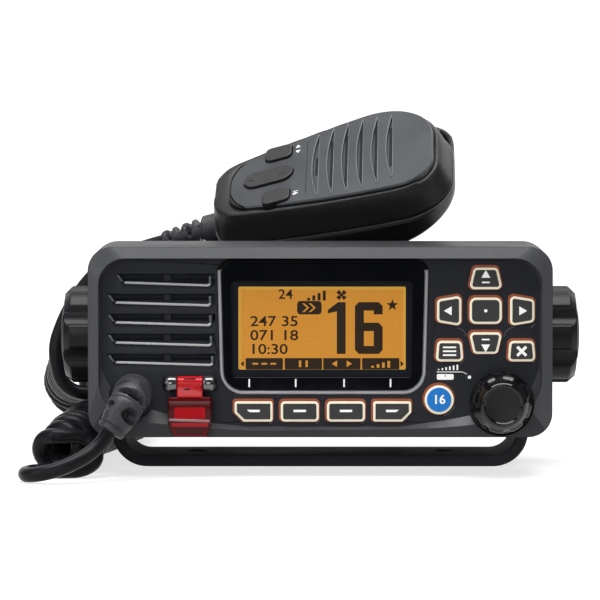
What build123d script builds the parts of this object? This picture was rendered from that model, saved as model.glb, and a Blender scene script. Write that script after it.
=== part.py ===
from build123d import *
import os
from math import atan2, degrees, pi, radians, sin, tan

# Fixed-mount VHF marine radio on a U bracket, with a fist microphone lying on its case.
# Millimetres. +Z is up, the front faces -Y, +X is to the right of someone reading the display.
# The origin is the centre of the bracket base's underside; the tilt axis stands above it.

# ---------------------------------------------------------------- driving dimensions
# mounting bracket
bracket_depth = 30.0
bracket_plate = 4.2
arm_play = 2.5
bracket_bend_r = 8.0
pivot_z = 45.2
base_hole_spacing = 86.5
base_hole_r = 2.7

# bracket knobs and their bolts
knob_r = 17.0
knob_length = 16.8
knob_crown = 1.0
knob_crown_r = 9.0
knob_edge = 2.4
knob_flutes = 7
knob_flute_r = 5.0
knob_flute_depth = 2.2
bolt_r = 3.0
bolt_head_r = 5.6
bolt_head_t = 4.0
bolt_grip = 9.0
washer_r = 9.0
insert_r = 4.6
insert_length = 8.0

# front panel
front_y = -50.0
bezel_width = 156.5
bezel_height = 66.5
bezel_r = 9.0
bezel_depth = 28.7
bezel_side_draft = 0.75
bezel_top_draft = 1.45
bezel_wall = 4.0
recess_depth = 2.4
recess_left = -74.0
recess_right = 73.6
recess_top = 27.7
recess_low = -26.4
recess_sag = 2.0
recess_slope_deg = 46.0
panel_wall = 2.4

# loudspeaker grille
slot_count = 5
slot_pitch = 6.7
slot_height = 4.4
slot_open = 1.7
slot_depth = 1.4
slot_left = -71.2
slot_right = -35.2
slot_slant = 2.8
slot_first_inset = 3.0
slot_top = 22.7
grille_rib_x = -51.0
grille_rib = 2.4

# display
window_x = 0.9
window_top_width = 68.0
window_low_width = 66.0
window_top = 26.3
window_height = 42.6
window_r = 6.5
window_top_r = 3.0
window_t = 1.8
window_proud = 0.3
trim_width = 1.3
lcd_x = 0.6
lcd_z = 18.7
lcd_width = 56.6
lcd_height = 28.4
lcd_border = 1.7
lcd_t = 2.6

# keys
key_proud = 0.9
key_ring = 0.85
key_ring_step = 0.35
key_flange = 0.6
key_flange_t = 0.7
key_gap = 0.25
key_travel = 0.6
soft_key_x = -22.3
soft_key_z = -23.3
soft_key_pitch = 15.45
soft_key_width = 12.8
soft_key_height = 6.9
soft_key_r = 1.5
soft_key_cut = 3.0
pad_x = 55.25
pad_z = 10.4
pad_reach = 12.2
pad_up_z = 21.2
pad_down_z = -0.4
pad_corner_z = -3.1
pad_corner_x = 12.05
round_key_x = 39.75
round_key_z = -19.4
round_key_r = 4.9
mat_t = 1.0
board_t = 1.6

# volume control
volume_x = 60.35
volume_z = -20.2
volume_r = 10.4
volume_length = 13.2
volume_gap = 1.1
volume_pocket = 0.8
volume_travel = 0.6
volume_notches = 8
volume_notch_depth = 1.5
shaft_r = 2.0
rotor_r = 3.2
encoder_size = 11.2
encoder_depth = 7.0

# distress key and its flip cover
cover_x = -43.4
hinge_z = -13.9
hinge_proud = 2.7
hinge_r = 2.6
hinge_pin_r = 0.8
cover_width = 14.4
cover_neck = 8.6
cover_reach = 17.6
cover_wall = 1.3
cover_bulge = 6.4
boss_left = 4.6
boss_right = 4.4
distress_key_width = 8.4
distress_key_height = 5.6
distress_key_drop = 8.0
distress_travel = 0.6

# loudspeaker
speaker_x = -53.0
speaker_z = 7.6
speaker_r = 17.0
speaker_depth = 11.0
magnet_r = 9.0
cone_apex_r = 4.6
cone_apex_z = -4.2
cone_rim_z = -0.5
cone_t = 0.7
membrane_t = 0.3

# die-cast chassis
chassis_width = 131.0
chassis_height = 54.2
chassis_depth = 81.0
chassis_wall = 2.4
chassis_rear_wall = 3.0
chassis_r = 4.0
flange_t = 3.0
flange_lip = 2.3
gasket_t = 1.0
fin_height = 1.5
fin_width = 2.0
fin_pitch = 9.0
fin_count = 13
rear_fin_depth = 6.0
rear_fin_pitch = 6.0
rear_fin_count = 9
rear_fin_x = 8.0
screw_r = 1.5
screw_head_r = 2.8
screw_head_t = 1.8
screw_length = 13.0
screw_inset = 7.85
boss_r = 4.0

# connections on the rear
jack_x = -44.0
jack_z = 6.0
jack_r = 7.9
jack_length = 15.0
socket_r = 5.7
socket_depth = 8.0
contact_r = 2.1
contact_depth = 4.0
jack_flange = 22.0
jack_flange_t = 2.0
inlet_x = 48.0
inlet_z = 6.0
inlet_r = 6.2
inlet_bore_r = 3.4
inlet_length = 9.0
gland_x = 48.0
gland_z = -14.0
gland_r = 4.6

# boards inside the chassis
main_board_z = -9.0
board_clear = 4.1
main_board_length = 62.0
can_height = 6.0
can_sizes = ((34.0, 26.0), (26.0, 20.0))
can_places = ((-34.0, -8.0), (8.0, -10.0))
board_post_r = 2.5
board_post_inset = 5.0

# microphone: length along its cord line, width across, thickness through it
mic_x = 1.0
mic_y = 10.0
mic_z = 105.3
mic_pitch = 14.3
mic_lean = 36.0
mic_yaw = -12.0
mic_head = 40.6
mic_tail = 35.0
mic_head_half = 26.0
mic_tail_half = 12.6
mic_side_half = 21.6
mic_head_near_r = 12.0
mic_head_far_r = 23.0
mic_tail_r = 9.0
mic_flare = 4.6
mic_case_tail = 4.0
mic_case_shift = -0.7
mic_shoulder = 2.2
mic_front_depth = 12.0
mic_band = 1.4
mic_band_proud = 0.25
mic_depth = 28.4
mic_tail_depth = 20.0
mic_back_bevel = 4.6
mic_wall = 2.0
mic_panel_t = 2.0
mic_panel_proud = 0.8
mic_ledge = 1.6
mic_slots = 6
mic_slot_first = -1.8
mic_slot_pitch = 5.5
mic_slot_half = 18.6
mic_slot_swell = 2.6
mic_slot_width = 2.2
mic_slit_width = 0.9
mic_slot_depth = 1.0
mic_key_x = -17.0
mic_key_across = 13.5
mic_key_length = 10.0
mic_key_width = 8.0
mic_rocker_x = -20.4
mic_rocker_length = 18.4
mic_rocker_width = 9.0
rocker_pin_r = 0.7
rocker_pin_reach = 1.2
mic_key_proud = 1.0
mic_key_gap = 0.3
mic_key_travel = 0.6
ptt_start = 3.0
ptt_low = 16.0
ptt_width = 7.0
ptt_proud = 1.0
ptt_wall = 2.6
ptt_travel = 1.2
stud_x = 12.0
stud_r = 3.6
stud_head_r = 6.0
stud_length = 7.0
stud_head_t = 2.2
mic_board_t = 1.6

# cord
cord_d = 5.0
coil_d = 17.0
wide_coil_d = 24.0
boot_r = 5.2
boot_flange_r = 7.4
boot_flange_t = 2.5
boot_straight = 13.0
boot_bend_r = 9.0
boot_side = 6.7
boot_ahead = 2.5
boot_drop = 10.7
boot_x = -62.6
boot_z = -17.8
mic_boot_r = 5.4
mic_boot_length = 25.0

# fits
slide_gap = 0.3
fit_gap = 0.15
bolt_gap = 0.2

# ---------------------------------------------------------------- places that follow from them
panel_y = front_y + recess_depth
panel_back_y = panel_y + panel_wall
bezel_rear_y = front_y + bezel_depth
gasket_y = bezel_rear_y - flange_t - gasket_t
chassis_rear_y = bezel_rear_y + chassis_depth
key_back_y = panel_back_y + key_flange_t
mat_y = key_back_y + key_travel + fit_gap
board_y = mat_y + mat_t
bracket_width = chassis_width + 2 * (arm_play + bracket_plate)
arm_x = bracket_width / 2
cord_r = cord_d / 2
cavity_width = bezel_width - 2 * bezel_wall
cavity_height = bezel_height - 2 * bezel_wall
screw_x = bezel_width / 2 - screw_inset
screw_z = bezel_height / 2 - screw_inset
board_width = chassis_width - 2 * (chassis_wall + board_clear)
tiny = 0.01
sides = (-1, 1)
knob_x = arm_x + slide_gap

os.makedirs("parts", exist_ok=True)


def save(node, shape):
    """Write one node, as a single solid or a group of separate ones."""
    shape.label = node
    export_step(shape, f"parts/{node}.step")


def facing(y):
    """The plane at depth y that faces the reader, with its origin on the tilt axis."""
    return Plane(origin=(0, y, pivot_z), x_dir=(1, 0, 0), z_dir=(0, -1, 0))


def on_front(x, z, y):
    """A place on the front: local Z points at the reader."""
    return Plane(origin=(x, y, pivot_z + z), x_dir=(1, 0, 0), z_dir=(0, -1, 0))


def on_rear(x, z, y):
    """A place on the back: local Z points away from the reader."""
    return Plane(origin=(x, y, pivot_z + z), x_dir=(-1, 0, 0), z_dir=(0, 1, 0))


def on_side(x, side):
    """A place on the tilt axis: local Z points outward, to the left or right."""
    return Plane(origin=(x * side, 0, pivot_z), x_dir=(0, 1, 0), z_dir=(side, 0, 0))


def slab(outline, rear_y, near_y):
    """An outline drawn on the front, as a solid from rear_y forward to near_y."""
    return extrude(facing(rear_y) * outline, amount=rear_y - near_y)


def up_disc(r, z0, z1):
    """A cylinder along local Z from z0 to z1."""
    return Pos(0, 0, (z0 + z1) / 2) * Cylinder(r, z1 - z0)


def trapezoid(low, high, height, r, skew=0.0):
    """A key outline: low and high are its bottom and top widths, skew slants its left side."""
    corners = [
        (-low / 2, -height / 2),
        (low / 2, -height / 2),
        (high / 2, height / 2 - skew),
        (-high / 2, height / 2),
    ]
    face = make_face(Polyline(corners, close=True))
    return fillet(face.vertices(), r)


# ---------------------------------------------------------------- mounting bracket
def make_bracket():
    height = pivot_z + bracket_depth / 2
    outer = Pos(0, height / 2) * Rectangle(bracket_width, height)
    low = outer.vertices().group_by(Axis.Y)[0]
    outer = fillet(low, bracket_bend_r + bracket_plate)
    inner_width = bracket_width - 2 * bracket_plate
    inner = Pos(0, height / 2 + bracket_plate) * Rectangle(inner_width, height)
    low = inner.vertices().group_by(Axis.Y)[0]
    inner = fillet(low, bracket_bend_r)
    section = Plane.XZ * (outer - inner)
    shape = extrude(section, amount=bracket_depth / 2, both=True)
    # the arms end in a half circle round the tilt axis
    side = Pos(0, pivot_z / 2) * Rectangle(bracket_depth, pivot_z)
    side += Pos(0, pivot_z) * Circle(bracket_depth / 2)
    shape &= extrude(Plane.YZ * side, amount=bracket_width, both=True)
    bolt_hole = Plane.YZ * Pos(0, pivot_z) * Circle(bolt_r + bolt_gap)
    shape -= extrude(bolt_hole, amount=bracket_width, both=True)
    for side in sides:
        hole = Pos(side * base_hole_spacing / 2, 0, 0) * up_disc(base_hole_r, -1, bracket_plate + 1)
        shape -= hole
    return shape


save("mounting_bracket", make_bracket())


# ---------------------------------------------------------------- bracket knobs
def make_knob():
    """A fluted hand knob with its flat side at local z = 0."""
    profile = Polyline(
        (0, 0),
        (knob_r, 0),
        (knob_r, knob_length - knob_edge),
        (knob_r - knob_edge, knob_length),
        (knob_crown_r + knob_crown, knob_length),
        (knob_crown_r, knob_length + knob_crown),
        (0, knob_length + knob_crown),
        close=True,
    )
    knob = revolve(Plane.XZ * make_face(profile), Axis.Z)
    reach = knob_r + knob_flute_r - knob_flute_depth
    for place in PolarLocations(reach, knob_flutes):
        knob -= place * up_disc(knob_flute_r, bracket_plate, knob_length + knob_crown + 1)
    knob -= up_disc(bolt_r, -1, bolt_grip)
    knob -= up_disc(bolt_head_r, bolt_grip - bolt_head_t, bolt_grip)
    return knob


def make_knob_bolt():
    """The bolt moulded into the knob: a hexagon head and a shank that passes the arm."""
    inward = bracket_plate + slide_gap + arm_play + insert_length
    head = extrude(Pos(0, 0, bolt_grip - bolt_head_t) * RegularPolygon(bolt_head_r, 6), amount=bolt_head_t)
    return head + up_disc(bolt_r, -inward, bolt_grip)


for side, name in zip(sides, ("left", "right")):
    save(f"bracket_knob_{name}", on_side(knob_x, side) * make_knob())
    save(f"knob_bolt_{name}", on_side(knob_x, side) * make_knob_bolt())

washer = up_disc(washer_r, 0, arm_play - slide_gap) - up_disc(bolt_r + bolt_gap, -1, arm_play + 1)
insert = up_disc(insert_r, -insert_length, 0) - up_disc(bolt_r + bolt_gap, -insert_length - 1, 1)
save("friction_washers", Compound(children=[on_side(chassis_width / 2, s) * washer for s in sides]))
save("side_inserts", Compound(children=[on_side(chassis_width / 2, s) * insert for s in sides]))


# ---------------------------------------------------------------- outlines on the front panel
def recess_outline():
    """The inner field of the front: straight top and sides, and a bottom edge that sags."""
    top_line = Polyline(
        (recess_left, recess_low),
        (recess_left, recess_top),
        (recess_right, recess_top),
        (recess_right, recess_low),
    )
    middle = ((recess_left + recess_right) / 2, recess_low - recess_sag)
    sag = ThreePointArc((recess_right, recess_low), middle, (recess_left, recess_low))
    face = make_face([*top_line.edges(), sag])
    high = face.vertices().group_by(Axis.Y)[-1]
    face = fillet(high, 10.5)
    low = face.vertices().group_by(Axis.Y)[0]
    return fillet(low, 12.0)


def window_outline(grow=0.0):
    low = window_low_width / 2
    high = window_top_width / 2
    points = [(-low, -window_height), (low, -window_height), (high, 0), (-high, 0)]
    face = Pos(window_x, window_top) * make_face(Polyline(points, close=True))
    lower = face.vertices().group_by(Axis.Y)[0]
    face = fillet(lower, window_r)
    upper = face.vertices().group_by(Axis.Y)[-1]
    face = fillet(upper, window_top_r)
    return offset(face, amount=grow) if grow else face


def soft_key_outline(index):
    """A rounded bar; the outer two lose their lower outer corner."""
    bar = Rectangle(soft_key_width, soft_key_height)
    cut_side = {0: -1, 3: 1}.get(index, 0)
    if cut_side:
        x = cut_side * soft_key_width / 2
        z = -soft_key_height / 2
        corner = Polyline((x, z), (x - cut_side * soft_key_cut, z), (x, z + soft_key_cut), close=True)
        bar -= make_face(corner)
    bar = fillet(bar.vertices(), 0.9 if cut_side else soft_key_r)
    return Pos(soft_key_x + index * soft_key_pitch, soft_key_z) * bar


def key_outlines():
    """Every key on the front, by node name."""
    outlines = {
        "key_up": Pos(pad_x, pad_up_z) * trapezoid(11.4, 8.0, 7.3, 1.6),
        "key_down": Pos(pad_x, pad_down_z) * trapezoid(8.0, 11.4, 7.3, 1.6),
        "key_enter": Pos(pad_x, pad_z) * RectangleRounded(10.8, 8.9, 2.2),
        "key_left": Pos(pad_x - pad_reach, pad_z) * Rot(0, 0, 90) * trapezoid(10.3, 7.6, 8.2, 1.6),
        "key_right": Pos(pad_x + pad_reach, pad_z) * Rot(0, 0, -90) * trapezoid(10.3, 7.6, 8.2, 1.6),
        "key_sixteen": Pos(round_key_x, round_key_z) * Circle(round_key_r),
    }
    menu = trapezoid(9.4, 8.2, 7.0, 1.6)
    outlines["key_menu"] = Pos(pad_x - pad_corner_x, pad_corner_z) * menu
    outlines["key_clear"] = Pos(pad_x + pad_corner_x, pad_corner_z) * menu
    for index in range(4):
        outlines[f"soft_key_{index + 1}"] = soft_key_outline(index)
    return outlines


def grille_cutter(index):
    """One louvre slot: a slit along its top and a bevel below that rises to the face."""
    top = slot_top - index * slot_pitch
    low = top - slot_height
    left = slot_left + (slot_first_inset if index == 0 else 0)
    outline = make_face(
        Polyline((left, top), (slot_right, top), (slot_right, low), (left + slot_slant, low), close=True)
    )
    right_low = outline.vertices().sort_by(Axis.X)[-2:].sort_by(Axis.Y)[0]
    outline = fillet(right_low, 1.6)
    bevel = make_face(
        Polyline(
            (panel_y - 1, top),
            (panel_y + slot_depth, top),
            (panel_y + slot_depth, top - slot_open),
            (panel_y, low),
            (panel_y - 1, low),
            close=True,
        )
    )
    run = extrude(Plane.YZ * Pos(0, pivot_z) * bevel, amount=bezel_width, both=True)
    cutter = slab(outline, panel_y + slot_depth, panel_y - 1) & run
    slit = make_face(
        Polyline(
            (left, top),
            (slot_right, top),
            (slot_right, top - slot_open),
            (left + slot_slant * slot_open / slot_height, top - slot_open),
            close=True,
        )
    )
    slit -= Pos(grille_rib_x, top) * Rectangle(grille_rib, slot_height * 2)
    return cutter + slab(slit, panel_back_y + 1, panel_y + slot_depth)


keys = key_outlines()
lcd_outline = Pos(lcd_x, lcd_z - lcd_height / 2) * Rectangle(lcd_width, lcd_height)
distress_z = hinge_z - distress_key_drop
distress_outline = Pos(cover_x, distress_z) * RectangleRounded(distress_key_width, distress_key_height, 1.2)
hinge_y = panel_y - hinge_proud


# ---------------------------------------------------------------- front panel
def make_front_panel():
    rear = RectangleRounded(bezel_width, bezel_height, bezel_r)
    near_width = bezel_width - 2 * bezel_side_draft
    near_height = bezel_height - 2 * bezel_top_draft
    near = RectangleRounded(near_width, near_height, bezel_r - 1)
    shell = loft([facing(bezel_rear_y) * rear, facing(front_y) * near], ruled=True)
    # sloped frame down to the inner field
    shell -= extrude(facing(panel_y) * recess_outline(), amount=recess_depth + 1, taper=-recess_slope_deg)
    # hollow, with a wider pocket at the back for the chassis flange
    cavity = RectangleRounded(cavity_width, cavity_height, bezel_r - 3)
    corners = [Pos(sx * screw_x, sz * screw_z) for sx in sides for sz in sides]
    bosses = Sketch() + [place * Circle(boss_r) for place in corners]
    shell -= slab(cavity - bosses, bezel_rear_y + 1, panel_back_y)
    pocket = offset(rear, amount=-flange_lip)
    shell -= slab(pocket, bezel_rear_y + 1, gasket_y)
    screw_holes = Sketch() + [place * Circle(screw_r) for place in corners]
    shell -= slab(screw_holes, gasket_y, gasket_y - screw_length)
    # the knob's round pocket bites into the frame
    shell -= slab(Pos(volume_x, volume_z) * Circle(volume_r + volume_pocket), panel_y, front_y - 1)
    # openings
    for outline in keys.values():
        shell -= slab(offset(outline, amount=key_gap), panel_back_y + 1, front_y)
    shell -= slab(offset(distress_outline, amount=key_gap), panel_back_y + 1, front_y)
    for index in range(slot_count):
        shell -= grille_cutter(index)
    shell -= slab(window_outline(trim_width + fit_gap), panel_y + window_t - window_proud, front_y)
    shell -= slab(offset(lcd_outline, amount=lcd_border + fit_gap), panel_back_y + 1, panel_y)
    shell -= slab(Pos(volume_x, volume_z) * Circle(rotor_r + slide_gap), panel_back_y + 1, front_y)
    shell -= slab(Pos(boot_x, boot_z) * Circle(cord_r + 1.2), panel_back_y + 1, front_y)
    # hinge bosses of the distress cover
    reach = cover_neck / 2 + slide_gap
    for side, length in ((-1, boss_left), (1, boss_right)):
        middle = cover_x + side * (reach + length / 2)
        post = Pos(middle, hinge_y, pivot_z + hinge_z) * Rot(0, 90, 0) * Cylinder(hinge_r, length)
        end = post.faces().sort_by(Axis.X)[-1 if side > 0 else 0]
        post = fillet(end.edges(), 1.6)
        foot = Pos(middle, (hinge_y + panel_y) / 2, pivot_z + hinge_z)
        post += foot * Box(length - 2.4, hinge_proud + tiny, hinge_r * 1.6)
        shell += post
    pin_hole = Pos(cover_x, hinge_y, pivot_z + hinge_z) * Rot(0, 90, 0)
    shell -= pin_hole * Cylinder(hinge_pin_r, cover_neck + boss_left + boss_right - 2)
    return shell


save("front_panel", make_front_panel())

# ---------------------------------------------------------------- display
window_front_y = panel_y - window_proud
window = slab(window_outline(), window_front_y + window_t, window_front_y)
trim_outline = window_outline(trim_width) - window_outline(fit_gap / 2)
save("display_window", window)
save("display_trim", slab(trim_outline, window_front_y + window_t, window_front_y))

lcd_front_y = window_front_y + window_t + fit_gap
lcd_back_y = board_y - fit_gap
lcd = slab(lcd_outline, lcd_front_y + lcd_t, lcd_front_y)
save("lcd_panel", lcd)
lcd_frame = slab(offset(lcd_outline, amount=lcd_border), lcd_back_y, lcd_front_y)
lcd_frame -= slab(lcd_outline, lcd_front_y + lcd_t, lcd_front_y - 1)
save("lcd_frame", lcd_frame)


# ---------------------------------------------------------------- keys and what they press on
def make_key(outline):
    """A cap with a paler ring round it and a flange that keeps it behind the panel."""
    ring_y = panel_y - key_proud + key_ring_step
    cap = slab(offset(outline, amount=key_flange), key_back_y, panel_back_y)
    cap += slab(outline, panel_back_y, ring_y)
    cap += slab(offset(outline, amount=-key_ring), ring_y, panel_y - key_proud)
    return cap


for name, outline in keys.items():
    save(name, make_key(outline))

distress_key = slab(offset(distress_outline, amount=key_flange), key_back_y, panel_back_y)
distress_key += slab(distress_outline, panel_back_y, panel_y - 1.4)
save("distress_key", distress_key)

mat_right = pad_x + pad_reach + 5.4
mat_left = lcd_x + lcd_width / 2 + lcd_border + slide_gap
mat_top = pad_up_z + 4.4
mat_low = soft_key_z - soft_key_height / 2 - 0.8
pad_block = Pos((mat_left + mat_right) / 2, (mat_top + mat_low) / 2)
pad_block *= Rectangle(mat_right - mat_left, mat_top - mat_low)
strip_left = soft_key_x - soft_key_width / 2 - 1
strip = Pos((strip_left + mat_left) / 2, soft_key_z)
strip *= Rectangle(mat_left - strip_left + 1, soft_key_height + 1.6)
mat_outline = pad_block + strip - Pos(volume_x, volume_z) * Circle(rotor_r + 1)
for sz in sides:
    mat_outline -= Pos(screw_x, sz * screw_z) * Circle(boss_r + slide_gap)
mat_outline &= RectangleRounded(cavity_width - 2 * slide_gap, cavity_height - 2 * slide_gap, bezel_r - 3)
save("keypad_mat", slab(mat_outline, board_y, mat_y))

board_outline = RectangleRounded(cavity_width - 2, cavity_height - 2, bezel_r - 4)
for sx in sides:
    for sz in sides:
        board_outline -= Pos(sx * screw_x, sz * screw_z) * Circle(boss_r + slide_gap)
board_outline -= Pos(speaker_x, speaker_z) * Circle(speaker_r + 1)
board_outline -= Pos(volume_x, volume_z) * Circle(rotor_r + 1)
board_outline -= Pos(boot_x, boot_z) * Circle(cord_r + 2)
save("front_board", slab(board_outline, board_y + board_t, board_y))

# ---------------------------------------------------------------- loudspeaker
membrane_y = panel_back_y + membrane_t
save("speaker_membrane", on_front(speaker_x, speaker_z, membrane_y) * up_disc(speaker_r, 0, membrane_t))
frame_profile = Polyline(
    (speaker_r - 1.4, 0),
    (speaker_r, 0),
    (speaker_r, -2.4),
    (magnet_r, -speaker_depth * 0.55),
    (magnet_r, -speaker_depth),
    (0, -speaker_depth),
    (0, -speaker_depth * 0.55 - 1.2),
    (magnet_r - 2, -speaker_depth * 0.55 + 0.4),
    (speaker_r - 1.4, -1.6),
    close=True,
)
speaker_frame = revolve(Plane.XZ * make_face(frame_profile), Axis.Z)
save("speaker_frame", on_front(speaker_x, speaker_z, membrane_y) * speaker_frame)
cone_profile = Polyline(
    (0, cone_apex_z + cone_t),
    (cone_apex_r, cone_apex_z),
    (speaker_r - 1.6, cone_rim_z),
    (speaker_r - 1.6, cone_rim_z - cone_t),
    (cone_apex_r, cone_apex_z - cone_t),
    (0, cone_apex_z),
    close=True,
)
speaker_cone = revolve(Plane.XZ * make_face(cone_profile), Axis.Z)
save("speaker_cone", on_front(speaker_x, speaker_z, membrane_y) * speaker_cone)


# ---------------------------------------------------------------- volume control
def make_volume_knob():
    """A skirted knob with notches round its rim and a dished end."""
    length = volume_length
    r = volume_r
    profile = make_face(
        Polyline(
            (0, 0),
            (r - 0.4, 0),
            (r, 0.4),
            (r, 2.0),
            (r - 1.3, length - 4.2),
            (r - 2.0, length - 2.2),
            (r - 3.4, length - 0.4),
            (r - 4.0, length),
            (r - 4.6, length - 0.2),
            (r - 4.9, length - 0.7),
            (0, length - 0.9),
            close=True,
        )
    )
    knob = revolve(Plane.XZ * profile, Axis.Z)
    notch_middle = (length - 4.2) / 2 + 0.9
    for place in PolarLocations(r - volume_notch_depth / 2 + 0.3, volume_notches, start_angle=22.5):
        knob -= place * Pos(0, 0, notch_middle) * Box(volume_notch_depth + 1, 3.4, length - 6)
    knob -= up_disc(shaft_r, -1, length - 4)
    knob -= up_disc(rotor_r + slide_gap, -1, volume_travel + 1.6)
    return knob


knob_back_y = panel_y - volume_gap
encoder_y = board_y + board_t
rotor_front_y = knob_back_y - 0.6
save("volume_knob", on_front(volume_x, volume_z, knob_back_y) * make_volume_knob())
shaft_length = encoder_y + encoder_depth - 2 - (knob_back_y - volume_length + 4)
volume_shaft = up_disc(shaft_r, 0, shaft_length)
shaft_back_y = encoder_y + encoder_depth - 2
save("volume_shaft", on_front(volume_x, volume_z, shaft_back_y) * volume_shaft)
rotor_length = encoder_y + 2 - rotor_front_y
rotor = up_disc(rotor_r, 0, rotor_length) - up_disc(shaft_r + fit_gap, -1, rotor_length + 1)
save("encoder_rotor", on_front(volume_x, volume_z, encoder_y + 2) * rotor)
encoder = Pos(0, 0, encoder_depth / 2) * Box(encoder_size, encoder_size, encoder_depth)
encoder -= up_disc(rotor_r + fit_gap, encoder_depth - 2 - slide_gap, encoder_depth + 1)
encoder -= up_disc(shaft_r + slide_gap, 2 - volume_travel - slide_gap, encoder_depth + 1)
save("encoder_body", on_front(volume_x, volume_z, encoder_y + encoder_depth) * encoder)


# ---------------------------------------------------------------- distress cover
def make_cover():
    """A clear flip cover: a hinge barrel, a narrow neck, a bulged body and a finger lip."""
    y0 = hinge_y
    z0 = pivot_z + hinge_z
    ridge_z = z0 - 12.1
    low_z = z0 - cover_reach
    near_y = panel_y - cover_bulge
    side_profile = make_face(
        Polyline(
            (y0, z0 - hinge_r * 0.2),
            (y0 - hinge_r, z0),
            (near_y + 1.0, z0 - 4.2),
            (near_y, z0 - 6.0),
            (near_y, ridge_z),
            (near_y + 2.4, low_z),
            (near_y + 2.4 + cover_wall, low_z),
            (near_y + cover_wall, ridge_z),
            (near_y + cover_wall, z0 - 6.0),
            (y0, z0 - 4.6),
            close=True,
        )
    )
    body = extrude(Plane.YZ * side_profile, amount=cover_width / 2, both=True)
    outline = Polyline(
        (-cover_neck / 2, hinge_r),
        (cover_neck / 2, hinge_r),
        (cover_neck / 2, -4.3),
        (cover_width / 2, -4.3),
        (cover_width / 2, -13.6),
        (cover_width / 2 - 1.7, -cover_reach - 1),
        (-cover_width / 2 + 1.7, -cover_reach - 1),
        (-cover_width / 2, -13.6),
        (-cover_width / 2, -4.3),
        (-cover_neck / 2, -4.3),
        close=True,
    )
    body &= extrude(Plane.XZ * Pos(0, z0) * make_face(outline), amount=80, both=True)
    # side cheeks stop just short of the panel
    for side in sides:
        cheek = make_face(
            Polyline(
                (near_y + tiny, z0 - 6.0),
                (near_y + tiny, ridge_z),
                (panel_y - slide_gap, ridge_z),
                (panel_y - slide_gap, z0 - 6.0),
                close=True,
            )
        )
        place = Plane(origin=(side * (cover_width - cover_wall) / 2, 0, 0), x_dir=(0, 1, 0), z_dir=(1, 0, 0))
        body += extrude(place * cheek, amount=cover_wall / 2, both=True)
    barrel = Pos(0, y0, z0) * Rot(0, 90, 0)
    body += barrel * Cylinder(hinge_r, cover_neck)
    body -= barrel * Cylinder(hinge_pin_r + fit_gap, cover_neck * 2)
    return Pos(cover_x, 0, 0) * body


save("distress_cover", make_cover())
pin_length = cover_neck + boss_left + boss_right - 2
hinge_pin = Pos(cover_x, hinge_y, pivot_z + hinge_z) * Rot(0, 90, 0) * Cylinder(hinge_pin_r, pin_length)
save("distress_hinge_pin", hinge_pin)


# ---------------------------------------------------------------- chassis
def make_chassis():
    body_height = chassis_height - 2 * fin_height
    outline = RectangleRounded(chassis_width, body_height, chassis_r)
    body = slab(outline, chassis_rear_y, bezel_rear_y - flange_t)
    fins = Sketch() + [
        Pos((i - (fin_count - 1) / 2) * fin_pitch, 0) * Rectangle(fin_width, chassis_height)
        for i in range(fin_count)
    ]
    body += slab(fins, chassis_rear_y, bezel_rear_y)
    rear_first_x = rear_fin_x - (rear_fin_count - 1) / 2 * rear_fin_pitch
    rear_fins = Sketch() + [
        Pos(rear_first_x + i * rear_fin_pitch, 0) * Rectangle(fin_width, body_height - 4)
        for i in range(rear_fin_count)
    ]
    flange = offset(RectangleRounded(bezel_width, bezel_height, bezel_r), amount=-flange_lip - fit_gap)
    body += slab(flange, bezel_rear_y, bezel_rear_y - flange_t)
    inner_width = chassis_width - 2 * chassis_wall
    inner = RectangleRounded(inner_width, body_height - 2 * chassis_wall, chassis_r - 2)
    body -= slab(inner, chassis_rear_y - chassis_rear_wall - rear_fin_depth, bezel_rear_y - flange_t - 1)
    # recess the rear wall round the fins
    recess = Rectangle(chassis_width + 2, chassis_height + 2)
    body -= slab(recess - rear_fins, chassis_rear_y + 1, chassis_rear_y - rear_fin_depth)
    # bosses that hold the threaded inserts
    for side in sides:
        place = on_side(chassis_width / 2, side)
        body += place * up_disc(insert_r + 2, -insert_length - 1, -chassis_wall / 2)
        body -= place * up_disc(insert_r, -insert_length, 1)
        body -= place * up_disc(bolt_r + bolt_gap, -insert_length - 2, 0)
    for sx in sides:
        for sz in sides:
            hole = on_rear(sx * screw_x, sz * screw_z, bezel_rear_y)
            body -= hole * up_disc(screw_r + fit_gap, -flange_t - 1, 1)
            body -= hole * up_disc(screw_head_r + fit_gap, -screw_head_t, 1)
    rear_y = chassis_rear_y - rear_fin_depth
    body -= on_rear(jack_x, jack_z, rear_y) * up_disc(jack_r - 2, -chassis_rear_wall - 1, 1)
    body -= on_rear(inlet_x, inlet_z, rear_y) * up_disc(inlet_r - 1.4, -chassis_rear_wall - 1, 1)
    body -= on_rear(gland_x, gland_z, rear_y) * up_disc(gland_r - 1.2, -chassis_rear_wall - 1, 1)
    return body


save("chassis", make_chassis())

gasket_outline = offset(RectangleRounded(bezel_width, bezel_height, bezel_r), amount=-flange_lip - fit_gap)
gasket_outline -= RectangleRounded(cavity_width, cavity_height, bezel_r - 3)
save("front_gasket", slab(gasket_outline, gasket_y + gasket_t, gasket_y))

screw = up_disc(screw_head_r, -screw_head_t, 0) + up_disc(screw_r, -screw_length, 0)
screw -= Box(3.6, 0.8, 1.2)
screw -= Box(0.8, 3.6, 1.2)
screw_places = [on_rear(sx * screw_x, sz * screw_z, bezel_rear_y) for sx in sides for sz in sides]
save("chassis_screws", Compound(children=[place * screw for place in screw_places]))

# ---------------------------------------------------------------- connections on the rear
rear_y = chassis_rear_y - rear_fin_depth
jack = extrude(RectangleRounded(jack_flange, jack_flange, 3), amount=jack_flange_t)
jack += up_disc(jack_r, 0, jack_length)
jack += up_disc(jack_r - 2 - fit_gap, -chassis_rear_wall, 0)
jack -= up_disc(socket_r, jack_length - socket_depth, jack_length + 1)
jack -= up_disc(contact_r, jack_length - socket_depth - contact_depth, jack_length)
save("antenna_jack", on_rear(jack_x, jack_z, rear_y) * jack)

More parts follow.
